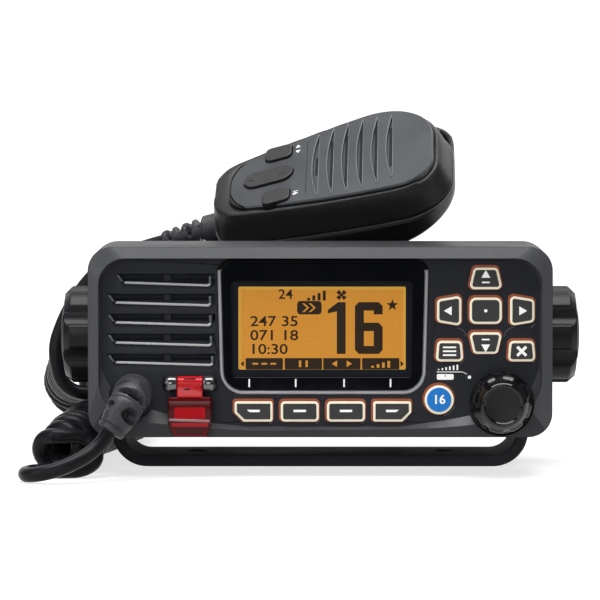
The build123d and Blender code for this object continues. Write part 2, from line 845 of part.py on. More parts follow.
inlet = up_disc(inlet_r + 2, 0, 2) + up_disc(inlet_r, 0, inlet_length)
inlet += up_disc(inlet_r - 1.4 - fit_gap, -chassis_rear_wall, 0)
inlet -= up_disc(inlet_bore_r, -chassis_rear_wall - 1, inlet_length + 1)
save("power_inlet", on_rear(inlet_x, inlet_z, rear_y) * inlet)

gland = up_disc(gland_r + 1.6, 0, 2) + up_disc(gland_r, 0, inlet_length - 2)
gland += up_disc(gland_r - 1.2 - fit_gap, -chassis_rear_wall, 0)
gland -= up_disc(gland_r - 2, -chassis_rear_wall - 1, inlet_length)
save("accessory_gland", on_rear(gland_x, gland_z, rear_y) * gland)

# ---------------------------------------------------------------- boards in the chassis
inside_rear_y = rear_y - chassis_rear_wall
board_middle_y = inside_rear_y - 3 - main_board_length / 2
board_z = pivot_z + main_board_z
main_board = Pos(0, board_middle_y, board_z) * Box(board_width, main_board_length, board_t)
floor_z = pivot_z - chassis_height / 2 + fin_height + chassis_wall
for sx in sides:
    for end in sides:
        post_z = (floor_z + board_z - board_t / 2) / 2
        post_x = sx * (board_width / 2 - board_post_inset)
        post_y = board_middle_y + end * (main_board_length / 2 - board_post_inset)
        main_board += Pos(post_x, post_y, post_z) * Cylinder(board_post_r, board_z - board_t / 2 - floor_z)
save("main_board", main_board)
can_z = board_z + board_t / 2 + can_height / 2
cans = [
    Pos(x, board_middle_y + y, can_z) * Box(length, width, can_height)
    for (x, y), (length, width) in zip(can_places, can_sizes)
]
save("shield_cans", Compound(children=cans))

# ---------------------------------------------------------------- microphone
mic_turn = Rot(0, 0, mic_yaw) * Rot(0, -mic_pitch, 0) * Rot(mic_lean, 0, 0)
mic_frame = Pos(mic_x, mic_y, mic_z) * mic_turn


def mic_outline(grow=0.0, tail=0.0):
    """The egg outline of the face, wide at the head and narrow at the cord."""
    left = -mic_tail - tail
    right = mic_head
    upper = ThreePointArc((left, mic_tail_half), (0, mic_side_half), (right, mic_head_half))
    lower = ThreePointArc((right, -mic_head_half), (0, -mic_side_half), (left, -mic_tail_half))
    ends = [
        Line((right, mic_head_half), (right, -mic_head_half)),
        Line((left, -mic_tail_half), (left, mic_tail_half)),
    ]
    face = make_face([upper, ends[0], lower, ends[1]])
    face = fillet(face.vertices().group_by(Axis.X)[-1].sort_by(Axis.Y)[-1], mic_head_far_r)
    face = fillet(face.vertices().group_by(Axis.X)[-1].sort_by(Axis.Y)[0], mic_head_near_r)
    face = fillet(face.vertices().group_by(Axis.X)[0], mic_tail_r)
    return offset(face, amount=grow) if grow else face


def case_outline(grow=0.0):
    """The widest outline of the case, at its seam."""
    return Pos(mic_case_shift, 0) * mic_outline(mic_flare + grow, mic_case_tail)


def prism(outline, low, high, taper=0.0):
    """An outline drawn on the microphone's face, as a solid between two heights."""
    return extrude(Pos(0, 0, low) * outline, amount=high - low, taper=taper)


def mic_key_outlines():
    small = RectangleRounded(mic_key_length, mic_key_width, 2.2)
    return {
        "mic_hilo_key": Pos(mic_key_x, mic_key_across) * small,
        "mic_sixteen_key": Pos(mic_key_x, -mic_key_across) * small,
        "mic_rocker_key": Pos(mic_rocker_x, 0) * SlotOverall(mic_rocker_length, mic_rocker_width),
    }


mic_keys = mic_key_outlines()
seam_w = -mic_front_depth
case_top = -mic_panel_proud
panel_floor = -mic_panel_t
key_shelf = panel_floor - 0.9
front_taper = degrees(atan2(mic_flare - mic_shoulder, mic_front_depth - mic_panel_proud))


def make_front_case():
    case = prism(case_outline(), seam_w, case_top, front_taper)
    case -= prism(case_outline(-mic_wall), seam_w - 1, panel_floor - mic_wall, front_taper)
    case -= prism(mic_outline(fit_gap), panel_floor, case_top + 1)
    case -= prism(mic_outline(-mic_ledge), panel_floor - mic_wall - 1, case_top + 1)
    # scallops where the outer keys cross its edge, deep enough for their travel
    for outline in mic_keys.values():
        scallop = offset(outline, amount=mic_key_gap)
        case -= prism(scallop, panel_floor - mic_key_travel - fit_gap, case_top + 1)
    return case


def make_rear_case(grow, rise):
    """The rounded back: it narrows toward the back and gets thinner toward the cord."""
    depth = mic_depth - mic_front_depth - mic_band - rise
    start = seam_w - mic_band
    upright = Plane(origin=(0, 0, start), x_dir=(1, 0, 0), z_dir=(0, 0, -1))
    shape = extrude(upright * case_outline(grow), amount=depth, taper=14)
    slope = Polyline(
        (-mic_tail - 20, -mic_tail_depth + rise + 4.2),
        (2, -mic_depth + rise),
        (mic_head + 20, -mic_depth + rise),
        (mic_head + 20, -mic_depth - 40),
        (-mic_tail - 20, -mic_depth - 40),
        close=True,
    )
    shape -= extrude(Plane.XZ * make_face(slope), amount=80, both=True)
    return shape


def ptt_strip(inner, outer, gap, low, high):
    """A strip that follows the case round its head corner, between two offsets of the outline."""
    strip = case_outline(outer) - case_outline(inner)
    reach = mic_head + 2 * mic_flare
    window = Pos(ptt_start - gap + reach / 2, ptt_low - gap + reach / 2) * Rectangle(reach, reach)
    return prism(strip & window, low, high)


ptt_low_w = seam_w - mic_band / 2 - ptt_width / 2
ptt_high_w = ptt_low_w + ptt_width
ptt_room = ptt_wall + ptt_travel + slide_gap
ptt_hole = ptt_strip(-ptt_room, ptt_proud, ptt_travel, ptt_low_w - slide_gap, ptt_high_w + slide_gap)
boot_start_x = mic_tail + mic_case_tail + mic_flare - mic_case_shift - 3.4
boot_plane = Plane(origin=(-boot_start_x, 0, seam_w - 3), x_dir=(0, 1, 0), z_dir=(-1, 0, 0))
boot_hole = extrude(boot_plane * Circle(mic_boot_r - 0.8), amount=8)
front_case = make_front_case() - ptt_hole - boot_hole
rear_case = make_rear_case(0, 0)
rear_case = chamfer(rear_case.faces().sort_by(Axis.Z)[0:2].edges(), mic_back_bevel)
rear_case -= make_rear_case(-mic_wall, mic_wall + 1.4)
rear_case = rear_case - ptt_hole - boot_hole
save("mic_front_case", mic_frame * front_case)
save("mic_rear_case", mic_frame * rear_case)

band = prism(case_outline(mic_band_proud), seam_w - mic_band, seam_w)
band -= prism(case_outline(-mic_wall), seam_w - mic_band - 1, seam_w + 1)
save("mic_seam_band", mic_frame * (band - ptt_hole - boot_hole))


def crescent(half, width):
    """A slot outline bowed toward the cord."""
    bow = ThreePointArc((0, half), (-width, 0), (0, -half))
    return make_face([bow, Line((0, -half), (0, half))])


def rocker_pin(play=0.0, end_play=0.0):
    """The pin across the rocker key, under the face panel."""
    length = mic_rocker_width + 2 * (rocker_pin_reach + end_play)
    pin = Cylinder(rocker_pin_r + play, length, rotation=(90, 0, 0))
    return Pos(mic_rocker_x, 0, panel_floor) * pin


def make_face_panel():
    panel = prism(mic_outline(), panel_floor, 0)
    panel = chamfer(panel.faces().sort_by(Axis.Z)[-1].edges(), 0.5)
    for index in range(mic_slots):
        x = mic_slot_first + index * mic_slot_pitch
        half = mic_slot_half + mic_slot_swell * sin(pi * (index + 0.4) / mic_slots)
        panel -= prism(Pos(x, 0) * crescent(half, mic_slot_width), -mic_slot_depth, 1)
        slit = 9.5 if index else 4.0
        panel -= prism(Pos(x - mic_slit_width, 0) * Rectangle(mic_slit_width, slit * 2), panel_floor - 1, 1)
    for outline in mic_keys.values():
        panel -= prism(offset(outline, amount=mic_key_gap), panel_floor - 1, 1)
    return panel - rocker_pin(fit_gap, slide_gap)


save("mic_face_panel", mic_frame * make_face_panel())
for name, outline in mic_keys.items():
    if name == "mic_rocker_key":
        key = prism(outline, key_shelf, mic_key_proud) + rocker_pin()
    else:
        flange = offset(outline, amount=key_flange) & mic_outline(-mic_ledge - slide_gap)
        key = prism(outline, panel_floor, mic_key_proud) + prism(flange, key_shelf, panel_floor)
    save(name, mic_frame * key)

board_top = key_shelf - mic_key_travel - fit_gap
save("mic_board", mic_frame * prism(mic_outline(-mic_ledge - 1), board_top - mic_board_t, board_top))
capsule = Pos(14, 0, board_top - mic_board_t) * up_disc(4.8, -5.0, 0)
save("mic_capsule", mic_frame * capsule)

ptt = ptt_strip(-ptt_wall, ptt_proud, 0, ptt_low_w, ptt_high_w)
save("mic_ptt_button", mic_frame * ptt)

stud_base = -mic_depth
stud_neck = stud_head_t - stud_length
hanger = up_disc(stud_r, stud_neck, 0) + up_disc(stud_head_r, -stud_length, stud_neck)
save("mic_hanger_stud", mic_frame * Pos(stud_x, 0, stud_base) * hanger)

mic_boot = up_disc(mic_boot_r, 3.9, 9.0) + up_disc(mic_boot_r - 1.0 - fit_gap, 0, 4.5)
rib_pitch = (mic_boot_length - 9.0) / 4
for index in range(4):
    r = mic_boot_r - 0.7 - 0.35 * index
    start = 9.0 + (index + 0.45) * rib_pitch
    mic_boot += up_disc(r, start, start + rib_pitch * 0.55)
mic_boot += up_disc(cord_r + 0.7, 9.0, mic_boot_length)
save("mic_boot", mic_frame * (boot_plane * mic_boot))


# ---------------------------------------------------------------- cord
def tube(points, r, name):
    """A round tube along straight runs, with an arc at each corner as large as its runs allow."""
    places = [Vector(*p) for p in points]
    runs = [b - a for a, b in zip(places, places[1:])]
    radii = []
    for before, after in zip(runs, runs[1:]):
        half_turn = radians(before.get_angle(after)) / 2
        shorter = min(before.length, after.length)
        radii.append(0.45 * shorter / tan(half_turn))
    print(name, "radii", [round(value, 1) for value in radii])
    path = FilletPolyline(*points, radius=radii)
    section = Plane(origin=path @ 0, z_dir=path % 0) * Circle(r)
    return sweep(section, path=path)


# the boot on the front leaves the panel squarely and droops to the lower left
boot_start = (boot_x, panel_y, pivot_z + boot_z)
boot_turn_y = panel_y - boot_straight
boot_turn = (boot_x, boot_turn_y, pivot_z + boot_z)
boot_end = (boot_x - boot_side, boot_turn_y - boot_ahead, pivot_z + boot_z - boot_drop)
boot_path = FilletPolyline(boot_start, boot_turn, boot_end, radius=boot_bend_r)
boot = sweep(Plane(origin=boot_path @ 0, z_dir=boot_path % 0) * Circle(cord_r + 1.3), path=boot_path)
boot += on_front(boot_x, boot_z, panel_y) * up_disc(boot_flange_r, 0, boot_flange_t)
boot += on_front(boot_x, boot_z, panel_back_y) * up_disc(cord_r + 1.0, -1, panel_wall + 1)
for step in (0.24, 0.44, 0.64, 0.88):
    ring_place = Plane(origin=boot_path @ step, z_dir=boot_path % step)
    half = 1.5 if step < 0.8 else 2.2
    boot += ring_place * Cylinder(boot_r - 1.0 * step, 2 * half)
save("cord_boot", boot)

front_lead = [
    boot_end,
    (-73.655, -64.725, 9.745),
    (-80.6, -69.4, 7.0),
    (-87.6, -71.8, 4.9),
    (-94.0, -70.6, 3.3),
    (-97.8, -65.6, 2.6),
    (-96.0, -59.4, 2.7),
    (-90.0, -55.8, 4.0),
    (-90.0, -50.0, 4.0),
]
save("cord_front_lead", tube(front_lead, cord_r, "front lead"))

lower_coil = [
    (-89.6, -50.0, 8.7),
    (-89.6, -24.0, 8.7),
    (-86.4, 10.0, 8.6),
    (-78.6, 42.0, 8.6),
    (-75.0, 68.0, 8.7),
    (-69.0, 86.0, 9.2),
    (-74.0, 101.0, 11.4),
    (-82.0, 103.0, 13.6),
]

upper_coil = [
    (-82.0, 103.0, 13.6),
    (-90.0, 105.0, 15.8),
    (-95.0, 91.0, 19.4),
    (-92.4, 70.0, 23.4),
    (-86.0, 50.0, 32.0),
    (-86.0, 30.0, 32.0),
]
coils = tube(lower_coil, coil_d / 2, "lower coil") + tube(upper_coil, wide_coil_d / 2, "upper coil")
save("curly_cord", coils)

mic_boot_place = Location(mic_frame) * boot_plane.location
mic_exit = (mic_boot_place * Location((0, 0, mic_boot_length))).position
mic_turn_off = (mic_boot_place * Location((0, 0, mic_boot_length + 12))).position
mic_lead = [
    (mic_exit.X, mic_exit.Y, mic_exit.Z),
    (mic_turn_off.X, mic_turn_off.Y, mic_turn_off.Z),
    (-80.5, 30.0, 67.5),
    (-86.5, 28.5, 58.0),
    (-88.0, 24.0, 48.5),
    (-86.4, 23.0, 39.5),
    (-86.4, 30.0, 39.5),
]
save("cord_mic_lead", tube(mic_lead, cord_r, "mic lead"))
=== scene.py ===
import bpy
import bmesh
from bmesh.types import BMEdge, BMFace, BMVert
from math import asin, cos, pi, radians, sin
from mathutils import Matrix, Vector


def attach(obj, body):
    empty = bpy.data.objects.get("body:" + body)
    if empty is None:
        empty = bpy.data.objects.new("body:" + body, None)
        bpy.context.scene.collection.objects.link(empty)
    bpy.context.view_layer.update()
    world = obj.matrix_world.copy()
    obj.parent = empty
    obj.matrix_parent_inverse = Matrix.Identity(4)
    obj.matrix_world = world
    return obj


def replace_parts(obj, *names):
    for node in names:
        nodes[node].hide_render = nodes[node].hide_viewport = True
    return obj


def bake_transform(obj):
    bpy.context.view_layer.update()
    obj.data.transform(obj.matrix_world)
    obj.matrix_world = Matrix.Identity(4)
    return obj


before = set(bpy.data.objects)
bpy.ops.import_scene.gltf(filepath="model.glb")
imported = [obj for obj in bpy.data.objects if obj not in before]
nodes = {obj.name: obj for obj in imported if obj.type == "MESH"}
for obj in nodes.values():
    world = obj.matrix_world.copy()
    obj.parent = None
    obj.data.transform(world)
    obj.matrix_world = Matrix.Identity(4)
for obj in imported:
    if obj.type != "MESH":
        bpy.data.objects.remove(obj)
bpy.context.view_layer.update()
scene = bpy.context.scene
scene.view_settings.view_transform = "Standard"
mm = 0.001
tiltHeight = 45.2  # mm, the axis that the radio tilts on
frontDepth = -47.6  # mm, where the field of the front lies
markThick = 0.04  # mm, of a printed mark


# put new data in the scene as an object
def link(name, data):
    holder = bpy.data.objects.new(name, data)
    scene.collection.objects.link(holder)
    return holder


# an object's final mesh, the object itself being done with
def meshOf(holder):
    bpy.context.view_layer.update()
    mesh = bpy.data.meshes.new_from_object(holder)
    bpy.data.objects.remove(holder)
    return mesh


# those of an operator's results that are vertices, edges or faces
def only(kind, items):
    return [item for item in items if isinstance(item, kind)]


# camera
cameraSet = {"place": (0, -0.95, 0.0959), "pitch": -2.33, "lens": 162.2, "shiftX": -0.03375}
cameraData = bpy.data.cameras.new("camera")
cameraData.lens = cameraSet["lens"]
cameraData.sensor_width = 36
cameraData.shift_x = cameraSet["shiftX"]
camera = link("camera", cameraData)
camera.location = cameraSet["place"]
camera.rotation_euler = (radians(90 + cameraSet["pitch"]), 0, 0)
scene.camera = camera


# small tools for making pieces
def point(x, y, z):
    return Vector((x * mm, y * mm, z * mm))


# local x and y lie on the radio's front, local z comes out of it
def onFront(x, z, y=frontDepth):
    return Matrix.Translation(point(x, y, tiltHeight + z)) @ Matrix.Rotation(radians(90), 4, "X")


# the same for outlines that count their height from the floor
def overFront(y=frontDepth):
    return onFront(0, -tiltHeight, y)


micAxes = {
    "origin": (1.0, 10.0, 105.3),
    "head": (0.94784, -0.20147, 0.247),
    "far": (0.02619, 0.82152, 0.56957),
    "face": (-0.31767, -0.53339, 0.78395),
}


# local x runs to the microphone's head, local y to its far side, local z out of its face
def onMic(a=0.0, b=0.0, w=0.0):
    head, far, face = (Vector(micAxes[key]) for key in ("head", "far", "face"))
    turn = Matrix((head, far, face)).transposed().to_4x4()
    return Matrix.Translation(point(*micAxes["origin"])) @ turn @ Matrix.Translation(point(a, b, w))


# a finished piece from a loose shape: its place, body and materials
def finishPiece(name, shape, body, materials, smooth=40, place=None, outward=True):
    if outward:
        bmesh.ops.recalc_face_normals(shape, faces=shape.faces)
    if place is not None:
        bmesh.ops.transform(shape, matrix=place, verts=shape.verts)
    mesh = bpy.data.meshes.new(name)
    shape.to_mesh(mesh)
    shape.free()
    for material in materials:
        mesh.materials.append(material)
    mesh.shade_smooth()
    if smooth < 180:
        mesh.set_sharp_from_angle(angle=radians(smooth))
    piece = link(name, mesh)
    if body:
        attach(piece, body)
    return piece


# round these corners of a flat face, and hand the face back
def roundCorners(shape, corners, radius, segments):
    done = bmesh.ops.bevel(shape, geom=corners, offset=radius * mm, segments=segments, profile=0.5,
                           affect="VERTICES", material=-1)
    return max((f for v in done["verts"] for f in v.link_faces), key=lambda f: len(f.verts))


# a flat outline in mm, its corners rounded, raised from low to high
def plate(shape, corners, low, high, roundness=0.0, edge=0.0, material=0):
    base = [shape.verts.new((x * mm, y * mm, low * mm)) for x, y in corners]
    face = shape.faces.new(base)
    if roundness:
        face = roundCorners(shape, base, roundness, 4)
    raised = bmesh.ops.extrude_face_region(shape, geom=[face])["geom"]
    tops, topFace = only(BMVert, raised), only(BMFace, raised)[0]
    bmesh.ops.translate(shape, vec=(0, 0, (high - low) * mm), verts=tops)
    for item in {f for v in tops for f in v.link_faces} | {face}:
        if item.is_valid:
            item.material_index = material
    if edge:
        bmesh.ops.bevel(shape, geom=topFace.edges[:], offset=edge * mm, segments=2, profile=0.5,
                        affect="EDGES", material=-1)


# turn a line of places round an axis
def spinLine(shape, places, axis, turn, steps, centre=(0, 0, 0), merge=True, closed=False):
    line = [shape.verts.new(place) for place in places]
    edges = [shape.edges.new(pair) for pair in zip(line, line[1:] + line[:1] * closed)]
    spun = bmesh.ops.spin(shape, geom=line + edges, cent=centre, axis=axis, angle=turn, steps=steps,
                          use_merge=merge, use_duplicate=False)
    return edges + only(BMEdge, spun["geom_last"])


# the corners of a rectangle round its middle
def box(width, height, x=0.0, y=0.0):
    return [(x - width / 2, y - height / 2), (x + width / 2, y - height / 2),
            (x + width / 2, y + height / 2), (x - width / 2, y + height / 2)]


# plain numbers as a flat mesh, its origin in their middle, in metres
def numberMesh(text, height, narrow=1.0, heavy=0.0):
    curve = bpy.data.curves.new("numbers", "FONT")
    curve.body = text
    curve.align_x = "CENTER"
    curve.align_y = "CENTER"
    curve.size = height * mm / 0.73
    curve.offset = heavy * mm
    curve.resolution_u = 4
    mesh = meshOf(link("numbers", curve))
    mesh.transform(Matrix.Diagonal((narrow, 1, 1, 1)))
    return mesh


# plain numbers added to a loose shape, all in mm
def addNumbers(shape, text, height, x, y, z, narrow=1.0, heavy=0.0, material=0):
    mesh = numberMesh(text, height, narrow, heavy)
    mesh.transform(Matrix.Translation(point(x, y, z)))
    before = set(shape.faces)
    shape.from_mesh(mesh)
    for face in shape.faces:
        if face not in before:
            face.material_index = material
    bpy.data.meshes.remove(mesh)


# shared effects
# an empty node group with these sockets, and its two end nodes
def effectGroup(name, inputs, outputs):
    group = bpy.data.node_groups.new(name, "ShaderNodeTree")
    for label, kind, value in inputs:
        socket = group.interface.new_socket(name=label, in_out="INPUT", socket_type=kind)
        if value is not None:
            socket.default_value = value
    for label, kind in outputs:
        group.interface.new_socket(name=label, in_out="OUTPUT", socket_type=kind)
    return group, group.nodes.new("NodeGroupInput"), group.nodes.new("NodeGroupOutput")


def noiseNode(tree, vector, scale, detail=2.0, rough=0.5):
    noise = tree.nodes.new("ShaderNodeTexNoise")
    noise.inputs["Scale"].default_value = scale
    noise.inputs["Detail"].default_value = detail
    noise.inputs["Roughness"].default_value = rough
    tree.links.new(vector, noise.inputs["Vector"])
    return noise


def mathNode(tree, operation, first, second=None, clamp=False):
    node = tree.nodes.new("ShaderNodeMath")
    node.operation = operation
    node.use_clamp = clamp
    for socket, value in zip(node.inputs, (first, second)):
        if value is None:
            continue
        if isinstance(value, (int, float)):
            socket.default_value = value
        else:
            tree.links.new(value, socket)
    return node.outputs[0]


def rangeNode(tree, value, low, high, toLow, toHigh):
    node = tree.nodes.new("ShaderNodeMapRange")
    for label, number in (("From Min", low), ("From Max", high), ("To Min", toLow), ("To Max", toHigh)):
        node.inputs[label].default_value = number
    tree.links.new(value, node.inputs["Value"])
    return node.outputs["Result"]


# an effect in a material, fed with the piece's own coordinates
def effectNode(tree, group):
    node = tree.nodes.new("ShaderNodeGroup")
    node.node_tree = group
    tree.links.new(tree.nodes.new("ShaderNodeTexCoord").outputs["Object"], node.inputs["Vector"])
    return node


# a blend of two colours, each given as a colour or as a socket
def colourMix(tree, factor, first, second):
    mix = tree.nodes.new("ShaderNodeMix")
    mix.data_type = "RGBA"
    for socket, value in zip(mix.inputs[6:8], (first, second)):  # the two colour sockets
        if isinstance(value, tuple):
            socket.default_value = (*value, 1)
        else:
            tree.links.new(value, socket)
    tree.links.new(factor, mix.inputs[0])
    return mix.outputs[2]


# the fine texture of a moulding tool, and the slow changes of tone over a moulding
def makeMouldGrain():
    group, start, end = effectGroup(
        "mouldGrain",
        [("Vector", "NodeSocketVector", None), ("Scale", "NodeSocketFloat", 3000.0)],
        [("Height", "NodeSocketFloat"), ("Tone", "NodeSocketFloat")],
    )
    fine = noiseNode(group, start.outputs["Vector"], 3000, 3, 0.6)
    group.links.new(start.outputs["Scale"], fine.inputs["Scale"])
    slow = noiseNode(group, start.outputs["Vector"], 28, 2)
    group.links.new(fine.outputs["Fac"], end.inputs["Height"])
    blended = mathNode(group, "ADD", mathNode(group, "MULTIPLY", fine.outputs["Fac"], 0.55),
                       mathNode(group, "MULTIPLY", slow.outputs["Fac"], 0.45))
    group.links.new(rangeNode(group, blended, 0.3, 0.7, 0.0, 1.0), end.inputs["Tone"])
    return group


# where hands and cloths have left a surface a little duller
def makeHandling():
    group, start, end = effectGroup(
        "handling", [("Vector", "NodeSocketVector", None)], [("Smudge", "NodeSocketFloat")])
    wide = noiseNode(group, start.outputs["Vector"], 60, 5, 0.62)
    group.links.new(rangeNode(group, wide.outputs["Fac"], 0.4, 0.68, 0.0, 1.0), end.inputs["Smudge"])
    return group


mouldGrain = makeMouldGrain()
handling = makeHandling()


# a moulded, painted or plated finish: colours, roughness, grain per metre and its depth in mm
def finish(name, dark, light, rough, grain=3000.0, depth=0.02, spread=0.05, metallic=0.0, coat=0.0,
           glow=None, glowStrength=0.0, clear=0.0, specular=0.5):
    material = bpy.data.materials.new(name)
    material.use_nodes = True
    tree = material.node_tree
    shader = tree.nodes["Principled BSDF"]
    texture, marks = effectNode(tree, mouldGrain), effectNode(tree, handling)
    texture.inputs["Scale"].default_value = grain
    tree.links.new(colourMix(tree, texture.outputs["Tone"], dark, light), shader.inputs["Base Color"])
    tree.links.new(rangeNode(tree, marks.outputs["Smudge"], 0, 1, rough - spread, rough + spread),
                   shader.inputs["Roughness"])
    bump = tree.nodes.new("ShaderNodeBump")
    bump.inputs["Distance"].default_value = depth * mm
    tree.links.new(texture.outputs["Height"], bump.inputs["Height"])
    tree.links.new(bump.outputs["Normal"], shader.inputs["Normal"])
    settings = {"Metallic": metallic, "Coat Weight": coat, "Coat Roughness": 0.06,
                "Specular IOR Level": specular, "Transmission Weight": clear}
    if glow:
        settings.update({"Emission Color": (*glow, 1), "Emission Strength": glowStrength})
    for label, value in settings.items():
        shader.inputs[label].default_value = value
    return material


bezelSlate = finish("bezelSlate", (0.034, 0.035, 0.039), (0.058, 0.059, 0.065), 0.42, 2400, 0.02, specular=0.4)
# a darker copy of the bezel slate for the flat chin, its darkness painted shade
chinShadedSlate = finish("chinShadedSlate", (0.015, 0.0155, 0.018), (0.026, 0.027, 0.031), 0.42, 2400, 0.02, specular=0.3)
# the panel's shell: a darker copy of the bezel slate, its extra darkness painted shade
bezelShellShaded = finish("bezelShellShaded", (0.013, 0.013, 0.015), (0.022, 0.022, 0.025), 0.5, 2400, 0.012, specular=0.2)
fieldBlack = finish("fieldBlack", (0.0066, 0.0074, 0.0110), (0.0102, 0.0114, 0.0168), 0.46, 3200, 0.008,
                    specular=0.22)
glossBlack = finish("glossBlack", (0.0022, 0.0022, 0.003), (0.0034, 0.0034, 0.0044), 0.13, 1500, 0.001,
                    0.04, coat=0.1, specular=0.3)
windowBlack = finish("windowBlack", (0.0010, 0.0014, 0.0028), (0.0016, 0.002, 0.0036), 0.09, 800, 0.0005,
                     0.03, specular=0.3)
bracketBlack = finish("bracketBlack", (0.052, 0.052, 0.058), (0.074, 0.074, 0.082), 0.66, 2200, 0.02, specular=0.03)
knobBlack = finish("knobBlack", (0.008, 0.008, 0.009), (0.013, 0.013, 0.015), 0.34, 2600, 0.005, specular=0.15)
volumeBlack = finish("volumeBlack", (0.007, 0.007, 0.008), (0.011, 0.011, 0.0125), 0.55, 3000, 0.008, specular=0.2)
steelGrey = finish("steelGrey", (0.42, 0.42, 0.43), (0.56, 0.56, 0.57), 0.28, 900, 0.004, metallic=1.0)
brassGold = finish("brassGold", (0.55, 0.39, 0.16), (0.66, 0.48, 0.22), 0.3, 900, 0.004, metallic=1.0)
castBlack = finish("castBlack", (0.010, 0.010, 0.011), (0.018, 0.018, 0.020), 0.46, 1500, 0.03, specular=0.35)
platedGrey = finish("platedGrey", (0.5, 0.5, 0.5), (0.62, 0.61, 0.6), 0.24, 1200, 0.004, metallic=1.0)
trimSilver = finish("trimSilver", (0.30, 0.30, 0.31), (0.40, 0.40, 0.415), 0.34, 2600, 0.004, metallic=0.5)
boardGreen = finish("boardGreen", (0.012, 0.06, 0.028), (0.02, 0.09, 0.04), 0.4, 700, 0.02)
innerGrey = finish("innerGrey", (0.02, 0.02, 0.022), (0.032, 0.032, 0.035), 0.5, 2500, 0.02)
keyDark = finish("keyDark", (0.026, 0.026, 0.028), (0.036, 0.036, 0.038), 0.5, 3600, 0.008, specular=0.3)
keyIvory = finish("keyIvory", (0.78, 0.73, 0.57), (0.86, 0.82, 0.67), 0.4, 2600, 0.003,
                  glow=(0.95, 0.86, 0.62), glowStrength=0.22)
keyGlow = finish("keyGlow", (0.16, 0.030, 0.006), (0.24, 0.05, 0.011), 0.4, 2600, 0.003,
                 glow=(0.9, 0.2, 0.04), glowStrength=0.10)
keyBlue = finish("keyBlue", (0.014, 0.19, 0.60), (0.020, 0.22, 0.68), 0.4, 3000, 0.006, specular=0.12)
distressRed = finish("distressRed", (0.42, 0.008, 0.012), (0.55, 0.014, 0.018), 0.35, 2000, 0.01)
coverRed = finish("coverRed", (0.080, 0.0010, 0.0022), (0.115, 0.0018, 0.0034), 0.16, 600, 0.0005, 0.03,
                  clear=0.3, specular=0.06)
barrelRed = finish("barrelRed", (0.36, 0.002, 0.006), (0.50, 0.004, 0.010), 0.2, 600, 0.0005, 0.04, specular=0.3)
# a bright red for gleams inside the cover, as painted light
paintedGleamRed = finish("paintedGleamRed", (0.42, 0.003, 0.008), (0.55, 0.006, 0.012), 0.25, 600, 0.0005, 0.04, specular=0.25)
litRed = finish("litRed", (0.34, 0.002, 0.006), (0.44, 0.004, 0.010), 0.4, 600, 0.0005, 0.04, specular=0.1)
# a pinkish silver for the cover's ridge, as painted highlight
ridgeHighlightPink = finish("ridgeHighlightPink", (0.27, 0.13, 0.135), (0.36, 0.19, 0.195), 0.25, 900, 0.001)
bossChrome = finish("bossChrome", (0.10, 0.10, 0.105), (0.15, 0.15, 0.155), 0.14, 900, 0.001, metallic=0.85)
bootGrey = finish("bootGrey", (0.012, 0.012, 0.015), (0.058, 0.058, 0.064), 0.44, 1300, 0.06, specular=0.3)
cordBlack = finish("cordBlack", (0.0070, 0.0070, 0.0084), (0.0110, 0.0110, 0.0132), 0.34, 1200, 0.004, specular=0.1)
micFace = finish("micFace", (0.018, 0.0205, 0.0245), (0.030, 0.033, 0.038), 0.4, 2600, 0.012, specular=0.4)
micBody = finish("micBody", (0.009, 0.009, 0.009), (0.019, 0.019, 0.018), 0.4, 1900, 0.03, specular=0.22)
micKey = finish("micKey", (0.011, 0.011, 0.012), (0.017, 0.017, 0.018), 0.44, 3200, 0.008, specular=0.3)
# a light slate for small raised lips, its lightness a painted highlight
lipHighlightSlate = finish("lipHighlightSlate", (0.062, 0.068, 0.076), (0.09, 0.098, 0.108), 0.36, 2600, 0.004)
seamGrey = finish("seamGrey", (0.028, 0.031, 0.034), (0.045, 0.049, 0.053), 0.35, 2600, 0.004)
# printed white marks, with a faint glow added as painted light so that they read brighter
markWhitePaintedGlow = finish("markWhitePaintedGlow", (0.74, 0.74, 0.70), (0.82, 0.82, 0.79), 0.5, 2600, 0.002,
                   glow=(1, 1, 0.95), glowStrength=0.26)
# a near-black used for a printed border, and as painted shade in openings, slits and gaps
printAndSlotShade = finish("printAndSlotShade", (0.0014, 0.0022, 0.0055), (0.0022, 0.0034, 0.0080), 0.5, 3000, 0.004, specular=0.15)
# a light slate for the ends of the grille's openings, as painted highlight
slotEndHighlight = finish("slotEndHighlight", (0.060, 0.066, 0.080), (0.085, 0.09, 0.105), 0.4, 2600, 0.004)
# a pale grey for the lips under the grille's openings, its paleness a painted highlight
lipHighlightGrey = finish("lipHighlightGrey", (0.36, 0.36, 0.37), (0.47, 0.47, 0.48), 0.32, 2600, 0.003, metallic=0.2)
screenInk = finish("screenInk", (0.016, 0.007, 0.0015), (0.022, 0.010, 0.002), 0.4, 2000, 0.001, specular=0.2)


